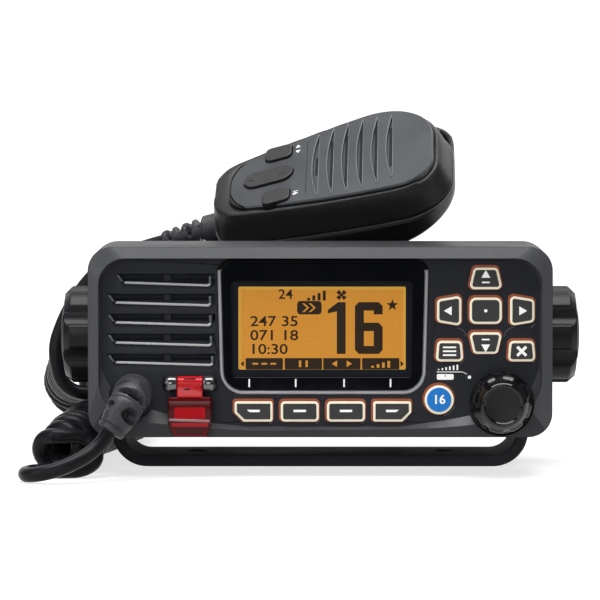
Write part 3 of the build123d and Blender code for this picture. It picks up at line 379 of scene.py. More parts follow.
# the fine grid of a lit screen, and the brighter light along its edge
def makeScreenDots():
    group, start, end = effectGroup(
        "screenDots",
        [("Vector", "NodeSocketVector", None), ("Pitch", "NodeSocketFloat", 0.43 * mm)],
        [("Lines", "NodeSocketFloat"), ("Edge", "NodeSocketFloat")],
    )
    parts = group.nodes.new("ShaderNodeSeparateXYZ")
    group.links.new(start.outputs["Vector"], parts.inputs[0])
    lines, reach = [], []
    for axis, middle, half in (("X", 0.6, 28.3), ("Z", 49.7, 14.2)):
        share = mathNode(group, "FRACT", mathNode(group, "DIVIDE", parts.outputs[axis], start.outputs["Pitch"]))
        lines.append(mathNode(group, "LESS_THAN", share, 0.16))
        away = mathNode(group, "ABSOLUTE", mathNode(group, "SUBTRACT", parts.outputs[axis], middle * mm))
        reach.append(rangeNode(group, away, (half - 1.6) * mm, half * mm, 0.0, 1.0))
    group.links.new(mathNode(group, "MAXIMUM", *lines), end.inputs["Lines"])
    group.links.new(mathNode(group, "MAXIMUM", *reach), end.inputs["Edge"])
    return group


# a lit liquid crystal screen, a little darker on its grid and brighter at its edge
def litScreen(name, body, light, strength):
    material = finish(name, body, body, 0.3, 900, 0.0005, specular=0.2, glow=light, glowStrength=strength)
    tree = material.node_tree
    dots = effectNode(tree, screenDots)
    onLines = colourMix(tree, dots.outputs["Lines"], light, tuple(value * 0.62 for value in light))
    atEdge = colourMix(tree, dots.outputs["Edge"], onLines, tuple(min(1, value * 1.6 + 0.04) for value in light))
    tree.links.new(atEdge, tree.nodes["Principled BSDF"].inputs["Emission Color"])
    return material


screenDots = makeScreenDots()
screenAmber = litScreen("screenAmber", (0.26, 0.105, 0.012), (0.88, 0.38, 0.045), 0.47)
print("finishes made")


# cords
# places along the smooth line that these points control, in metres
def smoothLine(points):
    curve = bpy.data.curves.new("line", "CURVE")
    curve.dimensions = "3D"
    curve.resolution_u = 14
    spline = curve.splines.new("NURBS")
    spline.points.add(len(points) - 1)
    for knot, place in zip(spline.points, points):
        knot.co = (*[value * mm for value in place], 1)
    spline.order_u = 3
    spline.use_endpoint_u = True
    places = []
    for vertex in meshOf(link("line", curve)).vertices:
        if not places or (vertex.co - places[-1]).length > 0.05 * mm:
            places.append(vertex.co.copy())
    return places


# distance along a line of places, and the place and heading at any distance
class Walk:
    def __init__(self, places):
        self.places = places
        self.marks = [0.0]
        for before, after in zip(places, places[1:]):
            self.marks.append(self.marks[-1] + (after - before).length)
        self.length = self.marks[-1]

    def at(self, distance):
        distance = min(max(distance, 0.0), self.length)
        index = next(i for i in range(1, len(self.marks)) if self.marks[i] >= distance - 1e-12)
        before, after = self.places[index - 1], self.places[index]
        share = (distance - self.marks[index - 1]) / max(self.marks[index] - self.marks[index - 1], 1e-12)
        ahead = self.places[min(index + 1, len(self.places) - 1)] - self.places[max(index - 2, 0)]
        return before.lerp(after, share), ahead.normalized()


# a value between the rows of (distance, value), both in mm
def fromTable(table, distance):
    for (near, first), (far, second) in zip(table, table[1:]):
        if distance <= far:
            share = max(0.0, (distance - near) / (far - near))
            share = share * share * (3 - 2 * share)
            return first + (second - first) * share
    return table[-1][1]


coilSet = {
    # the middle of the coil, from its near end along the floor and back over itself
    "axis": [
        (-89.6, -48.5, 8.3), (-88, -43, 8.9), (-85.2, -36, 9.8), (-84.3, -28, 10.4), (-83.3, -16, 10.4),
        (-83.1, 0, 10.4), (-83, 14, 10.4), (-80, 28, 10.4), (-77.5, 42, 10.4), (-76.6, 56, 10.4),
        (-74.5, 68, 10.4), (-70.5, 82, 10.6), (-69.5, 95, 11.6), (-78, 104, 13.6), (-89, 105, 16),
        (-96, 93, 19.6), (-94.5, 76, 24), (-91, 60, 27.8), (-88.5, 46, 29.9), (-86.2, 36, 31.5),
        (-85.3, 27, 32),
    ],
    "radius": [(0, 5.4), (10, 6.6), (19, 7.4), (28, 7.75), (150, 7.75), (190, 8.2), (230, 9.4), (260, 9.7)],
    "pitch": [(0, 10), (9, 9), (18, 5.6), (26, 5.35), (132, 5.35), (150, 9), (160, 15), (192, 15), (208, 8),
              (222, 5.7), (300, 5.7)],
    "firstAngle": 90,
    "lastAngle": 0,
    "stations": 26,
    "handOver": 172,
    "blendStart": (-90, 80, 24), "blendEnd": (-90, 34, 24),
}
leadSet = {
    "diameter": 5.0,
    "points": [
        (-69.3, -63.1, 16.7), (-72.4, -64.3, 11.7), (-78.6, -69, 7.6), (-85, -71.3, 4.9), (-91, -71.3, 3.3),
        (-96.0, -67.8, 2.6), (-97.4, -62.5, 2.6), (-95.8, -57.3, 2.6), (-91, -54.7, 2.6), (-85, -54.5, 2.6),
        (-79.2, -53.8, 2.7), (-74.9, -50.6, 5.0), (-74.8, -46.8, 9.4), (-79.4, -45.4, 13.4),
    ],
    "blendStart": (-70.5, -69, 5), "blendEnd": (-88, -69, 5),
}
micLeadSet = {
    "points": [
        (-56.7, 31.3, 77.3), (-68.1, 33.7, 74.3), (-80.5, 32, 67.5), (-88.5, 30, 57.5), (-93.5, 28.5, 48),
    ],
}


# the curled part: a helix round its axis line, as two runs of places
def makeCoil():
    walk = Walk(smoothLine(coilSet["axis"]))
    total = walk.length / mm
    step = 2 * pi / coilSet["stations"]

    def curl(stretch):
        places, marks = [], []
        angle, distance = radians(coilSet["firstAngle"]), 0.0
        while distance <= total:
            centre, ahead = walk.at(distance * mm)
            side = ahead.cross(Vector((0, 0, 1))).normalized()
            rise = side.cross(ahead)
            reach = fromTable(coilSet["radius"], distance) + 0.12 * sin(angle * 0.37)
            places.append(centre + reach * mm * (cos(angle) * side + sin(angle) * rise))
            marks.append(distance)
            angle += step
            distance += fromTable(coilSet["pitch"], distance) * stretch / coilSet["stations"]
        return places, marks, angle - step

    turned = curl(1.0)[2]
    wanted = radians(coilSet["lastAngle"])
    whole = round((turned - wanted) / (2 * pi))
    first = radians(coilSet["firstAngle"])
    places, marks, last = curl((turned - first) / (wanted + whole * 2 * pi - first))
    print("coil turns", round((last - first) / (2 * pi), 1))
    split = next(i for i, mark in enumerate(marks) if mark >= coilSet["handOver"])
    return places[: split + 1], places[split:]


# a free cord along these places, riding one body, or left fixed where it lies when a zone is given
def layCord(name, path, standsFor, bodies, zone=()):
    diameter = leadSet["diameter"] * mm
    curve = bpy.data.curves.new(name, "CURVE")
    curve.dimensions = "3D"
    curve.bevel_depth = diameter / 2
    curve.bevel_resolution = 4
    curve.use_fill_caps = True
    spline = curve.splines.new("POLY")
    spline.points.add(len(path) - 1)
    for knot, place in zip(spline.points, path):
        knot.co = (*place, 1)
    mesh = meshOf(link(name, curve))
    mesh.name = name
    mesh.materials.clear()
    mesh.materials.append(cordBlack)
    mesh.shade_smooth()
    tube = link(name, mesh)
    if zone:
        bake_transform(tube)
    else:
        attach(tube, *bodies)
    Walk(path).length
    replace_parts(tube, standsFor)


def makeCords():
    lowerCoil, upperCoil = makeCoil()
    # the front lead runs into the first ring along the ring's own heading
    ringStart, ringNext = lowerCoil[0], lowerCoil[1]
    heading = (ringNext - ringStart).normalized()
    lead = smoothLine(leadSet["points"] + [tuple((ringStart - heading * 3 * mm) / mm), tuple(ringStart / mm)])
    # the lead is split at its turn on the floor: the part up to the turn stays fixed where it lies, and the part
    # past it rides the bracket
    turn = min(range(len(lead)), key=lambda index: lead[index].x)
    frontPath = lead[turn:] + lowerCoil[1:]
    layCord("frontLead", lead[:turn + 1], "cord_front_lead", ("radio", "bracket"),
            (point(*leadSet["blendStart"]), point(*leadSet["blendEnd"])))
    layCord("frontCord", frontPath, "curly_cord", ("bracket",))
    layCord("upperCoil", upperCoil, "curly_cord", ("bracket", "radio"),
            (point(*coilSet["blendStart"]), point(*coilSet["blendEnd"])))
    # the microphone's own lead ends where the coil does
    coilEnd, coilBefore = upperCoil[-1], upperCoil[-2]
    backward = (coilEnd - coilBefore).normalized()
    micPoints = micLeadSet["points"] + [tuple((coilEnd + backward * 7 * mm) / mm), tuple(coilEnd / mm)]
    micPath = smoothLine(micPoints)
    layCord("microphoneCord", micPath, "cord_mic_lead", ("mic", "radio"), (micPath[0], micPath[-1]))
    print("cords", [round(Walk(path).length, 3) for path in (frontPath, upperCoil, micPath)])


makeCords()


# the carried-over pieces by finish, and how much their edges are softened, in mm
nodeFinish = (
    (bracketBlack, 1.1, "mounting_bracket"), (castBlack, 0.35, "chassis"), (brassGold, 0, "side_inserts"),
    (knobBlack, 0.45, "bracket_knob_left bracket_knob_right"),
    (steelGrey, 0, "knob_bolt_left knob_bolt_right chassis_screws volume_shaft"),
    (steelGrey, 0.3, "mic_hanger_stud"),
    (cordBlack, 0, "friction_washers front_gasket power_inlet accessory_gland"),
    (boardGreen, 0, "front_board main_board mic_board"),
    (platedGrey, 0, "shield_cans encoder_body encoder_rotor antenna_jack distress_hinge_pin mic_capsule"),
    (innerGrey, 0, "lcd_frame speaker_frame speaker_cone speaker_membrane"),
    (keyDark, 0, "keypad_mat"), (screenAmber, 0, "lcd_panel"), (windowBlack, 0.2, "display_window"),
    (distressRed, 0.2, "distress_key"), (glossBlack, 0.4, "volume_knob"),
    # these two are softened once more below, with their second materials
    (coverRed, 0.3, "distress_cover"), (trimSilver, 0.25, "display_trim"),
    (bootGrey, 0.2, "cord_boot mic_boot"),
    (micBody, 0.6, "mic_front_case"), (micBody, 1.2, "mic_rear_case"), (micBody, 0.5, "mic_ptt_button"),
    (seamGrey, 0.1, "mic_seam_band"), (micFace, 0.12, "mic_face_panel"),
    (micKey, 0.5, "mic_hilo_key mic_sixteen_key"), (micKey, 0.4, "mic_rocker_key"),
)
unflattened = {"mic_face_panel", "mic_front_case", "front_panel"}  # their faces have many openings


# soften a piece's edges by so many mm where they turn by more than the angle
def softEdges(piece, width, angle, clamp=False):
    soften = piece.modifiers.new("soften", "BEVEL")
    soften.width = width * mm
    soften.segments = 2
    soften.limit_method = "ANGLE"
    soften.angle_limit = radians(angle)
    soften.use_clamp_overlap = clamp
    even = piece.modifiers.new("even", "WEIGHTED_NORMAL")
    even.weight = 90
    even.keep_sharp = False


# soften a carried-over piece's edges and give it its finish
def dress(name, materials, edge):
    piece = nodes[name]
    mesh = piece.data
    mesh.materials.clear()
    for material in materials:
        mesh.materials.append(material)
    if "custom_normal" in mesh.attributes:
        mesh.attributes.remove(mesh.attributes["custom_normal"])
    mesh.shade_smooth()
    weld = piece.modifiers.new("weld", "WELD")
    weld.merge_threshold = 2e-6
    if edge:
        if name not in unflattened:
            flat = piece.modifiers.new("flat", "DECIMATE")
            flat.decimate_type = "DISSOLVE"
            flat.angle_limit = radians(1.5)
            flat.delimit = {"MATERIAL"}
        softEdges(piece, edge, 38)
    else:
        split = piece.modifiers.new("split", "EDGE_SPLIT")
        split.split_angle = radians(35)


for material, edge, nodeNames in nodeFinish:
    for nodeName in nodeNames.split():
        dress(nodeName, [material], edge)
dress("distress_cover", [coverRed, barrelRed], 0.3)

# the front panel: bezel, inner field, openings and hinge bosses each have their own finish
panelSet = {
    # mm from the tilt axis: half widths and half heights, and depths
    "bossDepth": -50.05, "backDepth": -46.2, "backHalf": (74, 29), "fieldFront": -50.02, "fieldBack": -46.0,
    "fieldHalf": (76.9, 32), "outerHalf": (75.5, 31.2), "slopeTop": -18, "slopeDepth": -50, "rimDepth": -49.9,
}
panel = nodes["front_panel"]
dress("front_panel", [bezelShellShaded, fieldBlack, printAndSlotShade, glossBlack], 0.16)
for face in panel.data.polygons:
    x, y, z = (value / mm for value in face.center)
    z -= tiltHeight
    flatFront = abs(face.normal.y) > 0.98
    outer, back, field = panelSet["outerHalf"], panelSet["backHalf"], panelSet["fieldHalf"]
    outward = face.normal.x * x + face.normal.z * z > 0 and (abs(x) > outer[0] or abs(z) > outer[1])
    # faces on the field's slope that turn upward keep the lighter shell finish rather than the field's black, as
    # painted light
    upFacingLitSlope = (face.normal.z > 0.3 and z < panelSet["slopeTop"] and y > panelSet["slopeDepth"]
                   and not flatFront)
    inField = panelSet["fieldFront"] < y < panelSet["fieldBack"] and abs(x) < field[0] and abs(z) < field[1]
    if y < panelSet["bossDepth"] and z < 0:
        face.material_index = 3
    # the panel's back, seen through its openings, gets the near-black finish as painted shade
    elif y > panelSet["backDepth"] and abs(x) < back[0] and abs(z) < back[1]:
        face.material_index = 2
    elif inField and not outward and not upFacingLitSlope:
        face.material_index = 0 if flatFront and y < panelSet["rimDepth"] else 1

for face in nodes["distress_cover"].data.polygons:
    if face.center.z / mm > 27.6:
        face.material_index = 1

keyRimDepth = -48.15  # mm, where a key's pale rim lies
keyBodies = {f"soft_key_{number}": f"push_soft_{number}" for number in range(1, 5)}
for word in ("up", "down", "left", "right", "enter", "menu", "clear", "sixteen"):
    keyBodies["key_" + word] = "push_" + word
for keyName in keyBodies:
    cap = keyBlue if keyName == "key_sixteen" else keyDark
    dress(keyName, [cap, keyIvory, keyGlow], 0.14)
    for face in nodes[keyName].data.polygons:
        depth = face.center.y / mm
        if abs(depth - keyRimDepth) < 0.02:
            face.material_index = 1
        elif depth > keyRimDepth:
            face.material_index = 2
print("carried-over pieces dressed")


# helpers for cut and merged shapes
# a clean copy of a carried-over piece's shape
def merged(nodeName, angle=1.0):
    shape = bmesh.new()
    shape.from_mesh(nodes[nodeName].data)
    bmesh.ops.remove_doubles(shape, verts=shape.verts, dist=2e-6)
    if angle:
        bmesh.ops.dissolve_limit(shape, angle_limit=radians(angle), verts=shape.verts, edges=shape.edges)
    return shape


# apply one modifier to a loose shape and hand the new shape back
def settle(shape, change):
    mesh = bpy.data.meshes.new("loose")
    shape.to_mesh(mesh)
    shape.free()
    holder = link("loose", mesh)
    change(holder)
    bpy.context.view_layer.update()
    ready = holder.evaluated_get(bpy.context.evaluated_depsgraph_get())
    done = bpy.data.meshes.new_from_object(ready)
    bpy.data.objects.remove(holder)
    result = bmesh.new()
    result.from_mesh(done)
    bpy.data.meshes.remove(done)
    return result


# cut one loose shape out of another
def carve(shape, cutter, operation="DIFFERENCE"):
    mesh = bpy.data.meshes.new("cutter")
    cutter.to_mesh(mesh)
    cutter.free()
    tool = link("cutter", mesh)

    def change(holder):
        cut = holder.modifiers.new("cut", "BOOLEAN")
        cut.operation = operation
        cut.solver = "EXACT"
        cut.object = tool

    result = settle(shape, change)
    bpy.data.objects.remove(tool)
    return result


# bezel face
bezelSet = {
    # corners as x, z and rounding, clockwise from the top left, then how far in front they lie
    "outer": [(-77.35, 31.65, 7.8), (77.35, 31.65, 7.8), (77.35, -31.65, 7.8), (55, -31.65, 2), (47, -31.65, 2),
              (38, -31.65, 2), (27, -31.65, 2), (-24, -31.65, 2), (-35, -31.65, 2), (-49, -31.65, 2),
              (-58, -31.65, 2), (-77.35, -31.65, 7.8)],
    "ridge": [(-73.9, 28.0, 9), (73.9, 28.0, 9), (73.9, -25.5, 13), (51.6, -27.5, 2), (45, -28.2, 2),
              (37.3, -28.8, 2), (26.7, -29.1, 2), (-24.3, -29.5, 2), (-35.4, -28.9, 2), (-50.8, -27.4, 2),
              (-57, -27.0, 2), (-73.9, -26.4, 13)],
    "foot": [(-73.6, 27.8, 9.5), (73.4, 27.8, 9.5), (73.3, -20.2, 14), (50, -24.7, 2), (43.2, -26.0, 2),
             (37.3, -26.9, 2), (26.7, -28.4, 2), (-24.3, -28.4, 2), (-35.4, -27.3, 2), (-50.8, -24.4, 2),
             (-56.7, -22.6, 2), (-73.3, -18.0, 12)],
    "edgeDepth": -50.03, "footDepth": -47.66, "ridgeLow": -50.12, "ridgeRise": 1.9, "chinTop": -24.5,
    "pockets": ((60.35, -20.2, 11.15), (-62.6, -17.8, 8.0)),
}


# the sloping frame round the field, its ridge proud of the panel except along the chin
def makeBezelFace():
    def ridgeDepth(z):
        share = min(1.0, max(0.0, (z + 24) / 16))
        return bezelSet["ridgeLow"] - bezelSet["ridgeRise"] * share * share * (3 - 2 * share)

    shape = bmesh.new()
    loops = []
    for key in ("outer", "ridge", "foot"):
        corners = [shape.verts.new(point(x, 0, z)) for x, z, roundness in bezelSet[key]]
        face = shape.faces.new(corners)
        for vertex, (x, z, roundness) in zip(corners, bezelSet[key]):
            face = roundCorners(shape, [vertex], roundness, 10 if roundness > 5 else 3)
        for vertex in face.verts:
            depths = {"outer": bezelSet["edgeDepth"], "foot": bezelSet["footDepth"],
                      "ridge": ridgeDepth(vertex.co.z / mm)}
            vertex.co.y = depths[key] * mm
        loops.append(face.edges[:])
        bmesh.ops.delete(shape, geom=[face], context="FACES_ONLY")
    for near, far in ((0, 1), (1, 2), (2, 0)):
        bmesh.ops.bridge_loops(shape, edges=loops[near] + loops[far])
    bmesh.ops.recalc_face_normals(shape, faces=shape.faces)
    pockets = bmesh.new()
    for x, z, radius in bezelSet["pockets"]:
        bmesh.ops.create_cone(pockets, cap_ends=True, segments=72, radius1=radius * mm, radius2=radius * mm,
                              depth=9 * mm, matrix=onFront(x, z, -50))
    bmesh.ops.translate(shape, vec=(0, 0, tiltHeight * mm), verts=shape.verts)
    face = finishPiece("bezelFace", carve(shape, pockets), "radio", [bezelSlate, chinShadedSlate],
                       smooth=28)
    # flat front faces below the chin's top get the darker slate as painted shade
    for polygon in face.data.polygons:
        low = polygon.center.z < (tiltHeight + bezelSet["chinTop"]) * mm
        polygon.material_index = 1 if low and polygon.normal.y < -0.9 else 0
    softEdges(face, 0.3, 14, clamp=True)


makeBezelFace()
print("bezel made")


# display
displaySet = {
    "opening": (60.2, 31.9, 0.5, 4.05),  # width, height, middle x and z on the front
    "screenDepth": -45.95,
    "ticks": (-23.75, -8.2, 7.95, 23.5),
    "softBoxes": (-18.75, -5.65, 7.25, 20.25),
    "rows": (("247 35", -15.4, 6.65), ("071 18", -15.4, 1.95), ("10:30", -17.3, -2.7)),  # text, middle x and z
}


def makeDisplay():
    width, height, midX, midZ = displaySet["opening"]
    cutter = bmesh.new()
    plate(cutter, box(width, height), -5, 5, roundness=1.2)
    bmesh.ops.recalc_face_normals(cutter, faces=cutter.faces)
    bmesh.ops.transform(cutter, matrix=onFront(midX, midZ, -47), verts=cutter.verts)
    shape = carve(merged("display_window"), cutter)
    window = finishPiece("displayWindow", shape, "radio", [windowBlack])
    soft = window.modifiers.new("soften", "BEVEL")
    soft.width = 0.12 * mm
    soft.segments = 2
    soft.angle_limit = radians(50)
    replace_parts(window, "display_window")

    # the printed border that the screen shows through
    border = bmesh.new()
    plate(border, box(width - 0.1, height - 0.1), 0, 0.5, roundness=1.0)
    hole = bmesh.new()
    plate(hole, box(56.0, 27.8, 0.1, 0.45), -1, 1.5, roundness=0.5)
    bmesh.ops.recalc_face_normals(hole, faces=hole.faces)
    bmesh.ops.recalc_face_normals(border, faces=border.faces)
    finishPiece("screenBorder", carve(border, hole), "radio", [printAndSlotShade],
                place=onFront(midX, midZ, -45.97))

    art = bmesh.new()
    level = 0.02

    def ink(corners, roundness=0.0, lift=level, material=0):
        plate(art, corners, lift, lift + 0.02, roundness=roundness, material=material)

    addNumbers(art, "24", 3.3, -11.6, 15.7, level, narrow=1.1, heavy=0.05)
    for step in range(4):
        ink(box(1.0, 0.9 + 0.8 * step, -3.9 + 1.75 * step, 14.2 + 0.4 * step))
    for turn in range(4):
        angle = turn * pi / 2 + pi / 4
        ink([(7.1 + 1.25 * cos(angle + d) + 0.85 * cos(angle + e),
              15.6 + 1.25 * sin(angle + d) + 0.85 * sin(angle + e))
             for d, e in ((0, 0.9), (0, 2.4), (0, 3.9), (0, 5.4))])
    ink(box(1.1, 1.1, 7.1, 15.6))
    ink(box(8.2, 4.5, -3.65, 11.35), 1.1)
    for offset in (-5.3, -3.1):
        ink([(offset, 9.9), (offset + 1.6, 11.35), (offset, 12.8), (offset - 0.75, 12.8), (offset + 0.85, 11.35),
             (offset - 0.75, 9.9)], lift=level + 0.03, material=1)
    for text, x, z in displaySet["rows"]:
        addNumbers(art, text, 3.5, x, z, level, narrow=1.22, heavy=0.06)
    # the large channel number
    ink([(5.55, -4.15), (8.5, -4.15), (8.5, 13.2), (6.0, 13.2), (2.55, 10.6), (2.55, 9.4), (5.55, 10.1)])
    ink([(12.9, -4.15), (19.6, -4.15), (20.9, -2.8), (20.9, 4.9), (19.6, 6.3), (14.6, 6.3), (14.6, 3.5),
         (17.9, 3.5), (17.9, -1.5), (14.6, -1.5), (14.6, 10.4), (17.9, 10.4), (17.9, 9.1), (20.9, 9.1),
         (20.9, 11.9), (19.6, 13.2), (12.9, 13.2), (11.6, 11.9), (11.6, -2.8)])
    star = []
    for turn in range(10):
        reach = 2.05 if turn % 2 == 0 else 0.85
        star.append((24.15 + reach * cos(pi / 2 + turn * pi / 5), 12.2 + reach * sin(pi / 2 + turn * pi / 5)))
    ink(star)
    symbolLift = level + 0.03
    for index, x in enumerate(displaySet["softBoxes"]):
        ink(box(12.5, 3.8, x, -7.45), 0.25)
        if index == 0:
            for offset in (-3, 0, 3):
                ink(box(1.9, 0.6, x + offset, -7.45), lift=symbolLift, material=1)
        elif index == 1:
            for offset in (-1.1, 1.1):
                ink(box(0.8, 2.2, x + offset, -7.45), lift=symbolLift, material=1)
        elif index == 2:
            ink([(x - 3.4, -7.45), (x - 1.6, -8.55), (x - 1.6, -6.35)], lift=symbolLift, material=1)
            ink([(x + 3.4, -7.45), (x + 1.6, -6.35), (x + 1.6, -8.55)], lift=symbolLift, material=1)
        else:
            for step in range(4):
                ink(box(0.9, 0.6 + 0.55 * step, x - 2.7 + 1.8 * step, -8.45 + 0.275 * step),
                    lift=symbolLift, material=1)
    ink([(-26.7, -7.45), (-25.6, -8.45), (-25.6, -6.45)])
    ink([(28.0, -7.45), (26.9, -6.45), (26.9, -8.45)])
    finishPiece("screenArt", art, "radio", [screenInk, screenAmber],
                place=onFront(0, 0, displaySet["screenDepth"]), outward=False)

    marks = bmesh.new()
    for x in displaySet["ticks"]:
        plate(marks, box(0.5, 2.7, x, -13.8), 0, markThick)
    finishPiece("windowMarks", marks, "radio", [markWhitePaintedGlow], place=onFront(0, 0, -47.9))
    print("display made")


makeDisplay()

# the trim round the window is bare metal at its sides and foot; along its top it gets the window's black as painted
# shade
dress("display_trim", [trimSilver, windowBlack], 0.25)
for face in nodes["display_trim"].data.polygons:
    if face.center.z / mm > 69.2:
        face.material_index = 1


# grille
grilleSet = {
    # left and right ends of each lip, its height at the left, and the height of the opening's top
    "lips": ((-65.3, -36.9, 64.6, 67.6), (-68.2, -36.9, 57.9, 60.9), (-68.2, -36.8, 51.25, 54.3),
             (-68.2, -36.6, 44.5, 47.5), (-68.2, -36.2, 37.9, 40.7)),
    "fall": 0.95,
    "ribAt": -51.0,
    "ribWidth": 2.4,
    "lipHeight": 0.85,
}


def makeGrille():
    lips, openingShade, ribs, ends = bmesh.new(), bmesh.new(), bmesh.new(), bmesh.new()
    for left, right, foot, top in grilleSet["lips"]:
        fall, tall = grilleSet["fall"], grilleSet["lipHeight"]
        bar = [(left - 0.4, foot), (right - 0.5, foot - fall), (right + 0.3, foot - fall + 0.45),
               (right + 0.45, foot - fall + 1.15), (right - 0.3, foot - fall + tall + 0.3),
               (right - 0.95, foot - fall + tall), (left + 0.1, foot + tall)]
        plate(lips, [(x, z - tiltHeight) for x, z in bar], -0.3, 0.16, edge=0.22)
        plate(openingShade, box(right - left + 4.4, 2.1, (left + right) / 2 - 2.0, top - 1.0 - tiltHeight), 0, 0.2)
        plate(ribs, box(grilleSet["ribWidth"], 2.3, grilleSet["ribAt"], top - 0.95 - tiltHeight), 0, 0.4, edge=0.12)
        slant = [(left - 3.1, top), (left - 1.35, top - 2.3), (left - 0.4, top - 2.3), (left - 2.0, top)]
        plate(ends, [(x, z - tiltHeight) for x, z in slant], 0, 0.25, edge=0.1)
        post = [(right - 0.35, foot - fall + 0.9), (right + 0.5, foot - fall + 0.9), (right + 0.5, top - 0.3),
                (right - 0.35, top - 0.3)]
        plate(ends, [(x, z - tiltHeight) for x, z in post], 0, 0.4, edge=0.15)
    # the lips' pale grey is a painted highlight
    finishPiece("grilleHighlightLips", lips, "radio", [lipHighlightGrey], place=onFront(0, 0))
    # dark strips behind the tops of the openings: painted shade
    finishPiece("grilleOpeningShade", openingShade, "radio", [printAndSlotShade], place=onFront(0, 0, -45.3))
    finishPiece("grilleRibs", ribs, "radio", [fieldBlack], place=onFront(0, 0, -46.3))
    # light ends of the openings: painted highlights
    finishPiece("grilleEndHighlights", ends, "radio", [slotEndHighlight], place=onFront(0, 0, -47.25))
    print("grille made")


makeGrille()


# keys
keySet = {
    "glowGrow": 0.95,  # mm that the lit rim shows round a key, over its whole width
    "glowShift": (-0.16, 0.34),
    "glowDepth": -47.63, "capFront": -48.5,
    "columns": (43.0, 55.25, 67.3), "row": 55.6, "lowRow": 42.1,  # middles of the keys in world x and z
}


# the lit rim that shows round each key, most of all above it
def makeKeyGlow():
    for name, body in keyBodies.items():
        shape = bmesh.new()
        shape.from_mesh(nodes[name].data)
        spare = [f for f in shape.faces if abs(f.calc_center_median().y / mm - keyRimDepth) > 0.02]
        bmesh.ops.delete(shape, geom=spare, context="FACES")
        bmesh.ops.remove_doubles(shape, verts=shape.verts, dist=2e-6)
        ringLow = Vector([min(v.co[i] for v in shape.verts) for i in range(3)])
        ringHigh = Vector([max(v.co[i] for v in shape.verts) for i in range(3)])
        middle = (ringLow + ringHigh) / 2
        grow = keySet["glowGrow"] * mm
        wide, tall = ringHigh.x - ringLow.x, ringHigh.z - ringLow.z
        across, up = keySet["glowShift"]
        shift = Matrix.Translation((middle.x + across * mm, keySet["glowDepth"] * mm, middle.z + up * mm))
        larger = Matrix.Diagonal(((wide + grow) / wide, 1, (tall + grow) / tall, 1))
        turn = shift @ larger @ Matrix.Translation(-middle)
        raised = bmesh.ops.extrude_face_region(shape, geom=shape.faces[:])["geom"]
        bmesh.ops.translate(shape, vec=(0, -0.05 * mm, 0), verts=only(BMVert, raised))
        finishPiece("glow_" + name, shape, "radio", [keyGlow], place=turn)


# the corners of a triangle that points along turn
def triangle(x, z, reach, turn):
    angles = [turn + step * 2 * pi / 3 for step in range(3)]
    return [(x + reach * cos(angle), z + reach * sin(angle)) for angle in angles]


# a thin flat ring
def ringMark(shape, x, z, outer, inner, lift=0.0):
    plateRing = bmesh.ops.create_circle(shape, segments=32, radius=outer * mm,
                                        matrix=Matrix.Translation(point(x, z, lift)))["verts"]
    face = shape.faces.new(plateRing)
    bmesh.ops.inset_region(shape, faces=[face], thickness=(outer - inner) * mm, use_boundary=True,
                           use_even_offset=True)
    bmesh.ops.delete(shape, geom=[face], context="FACES_ONLY")


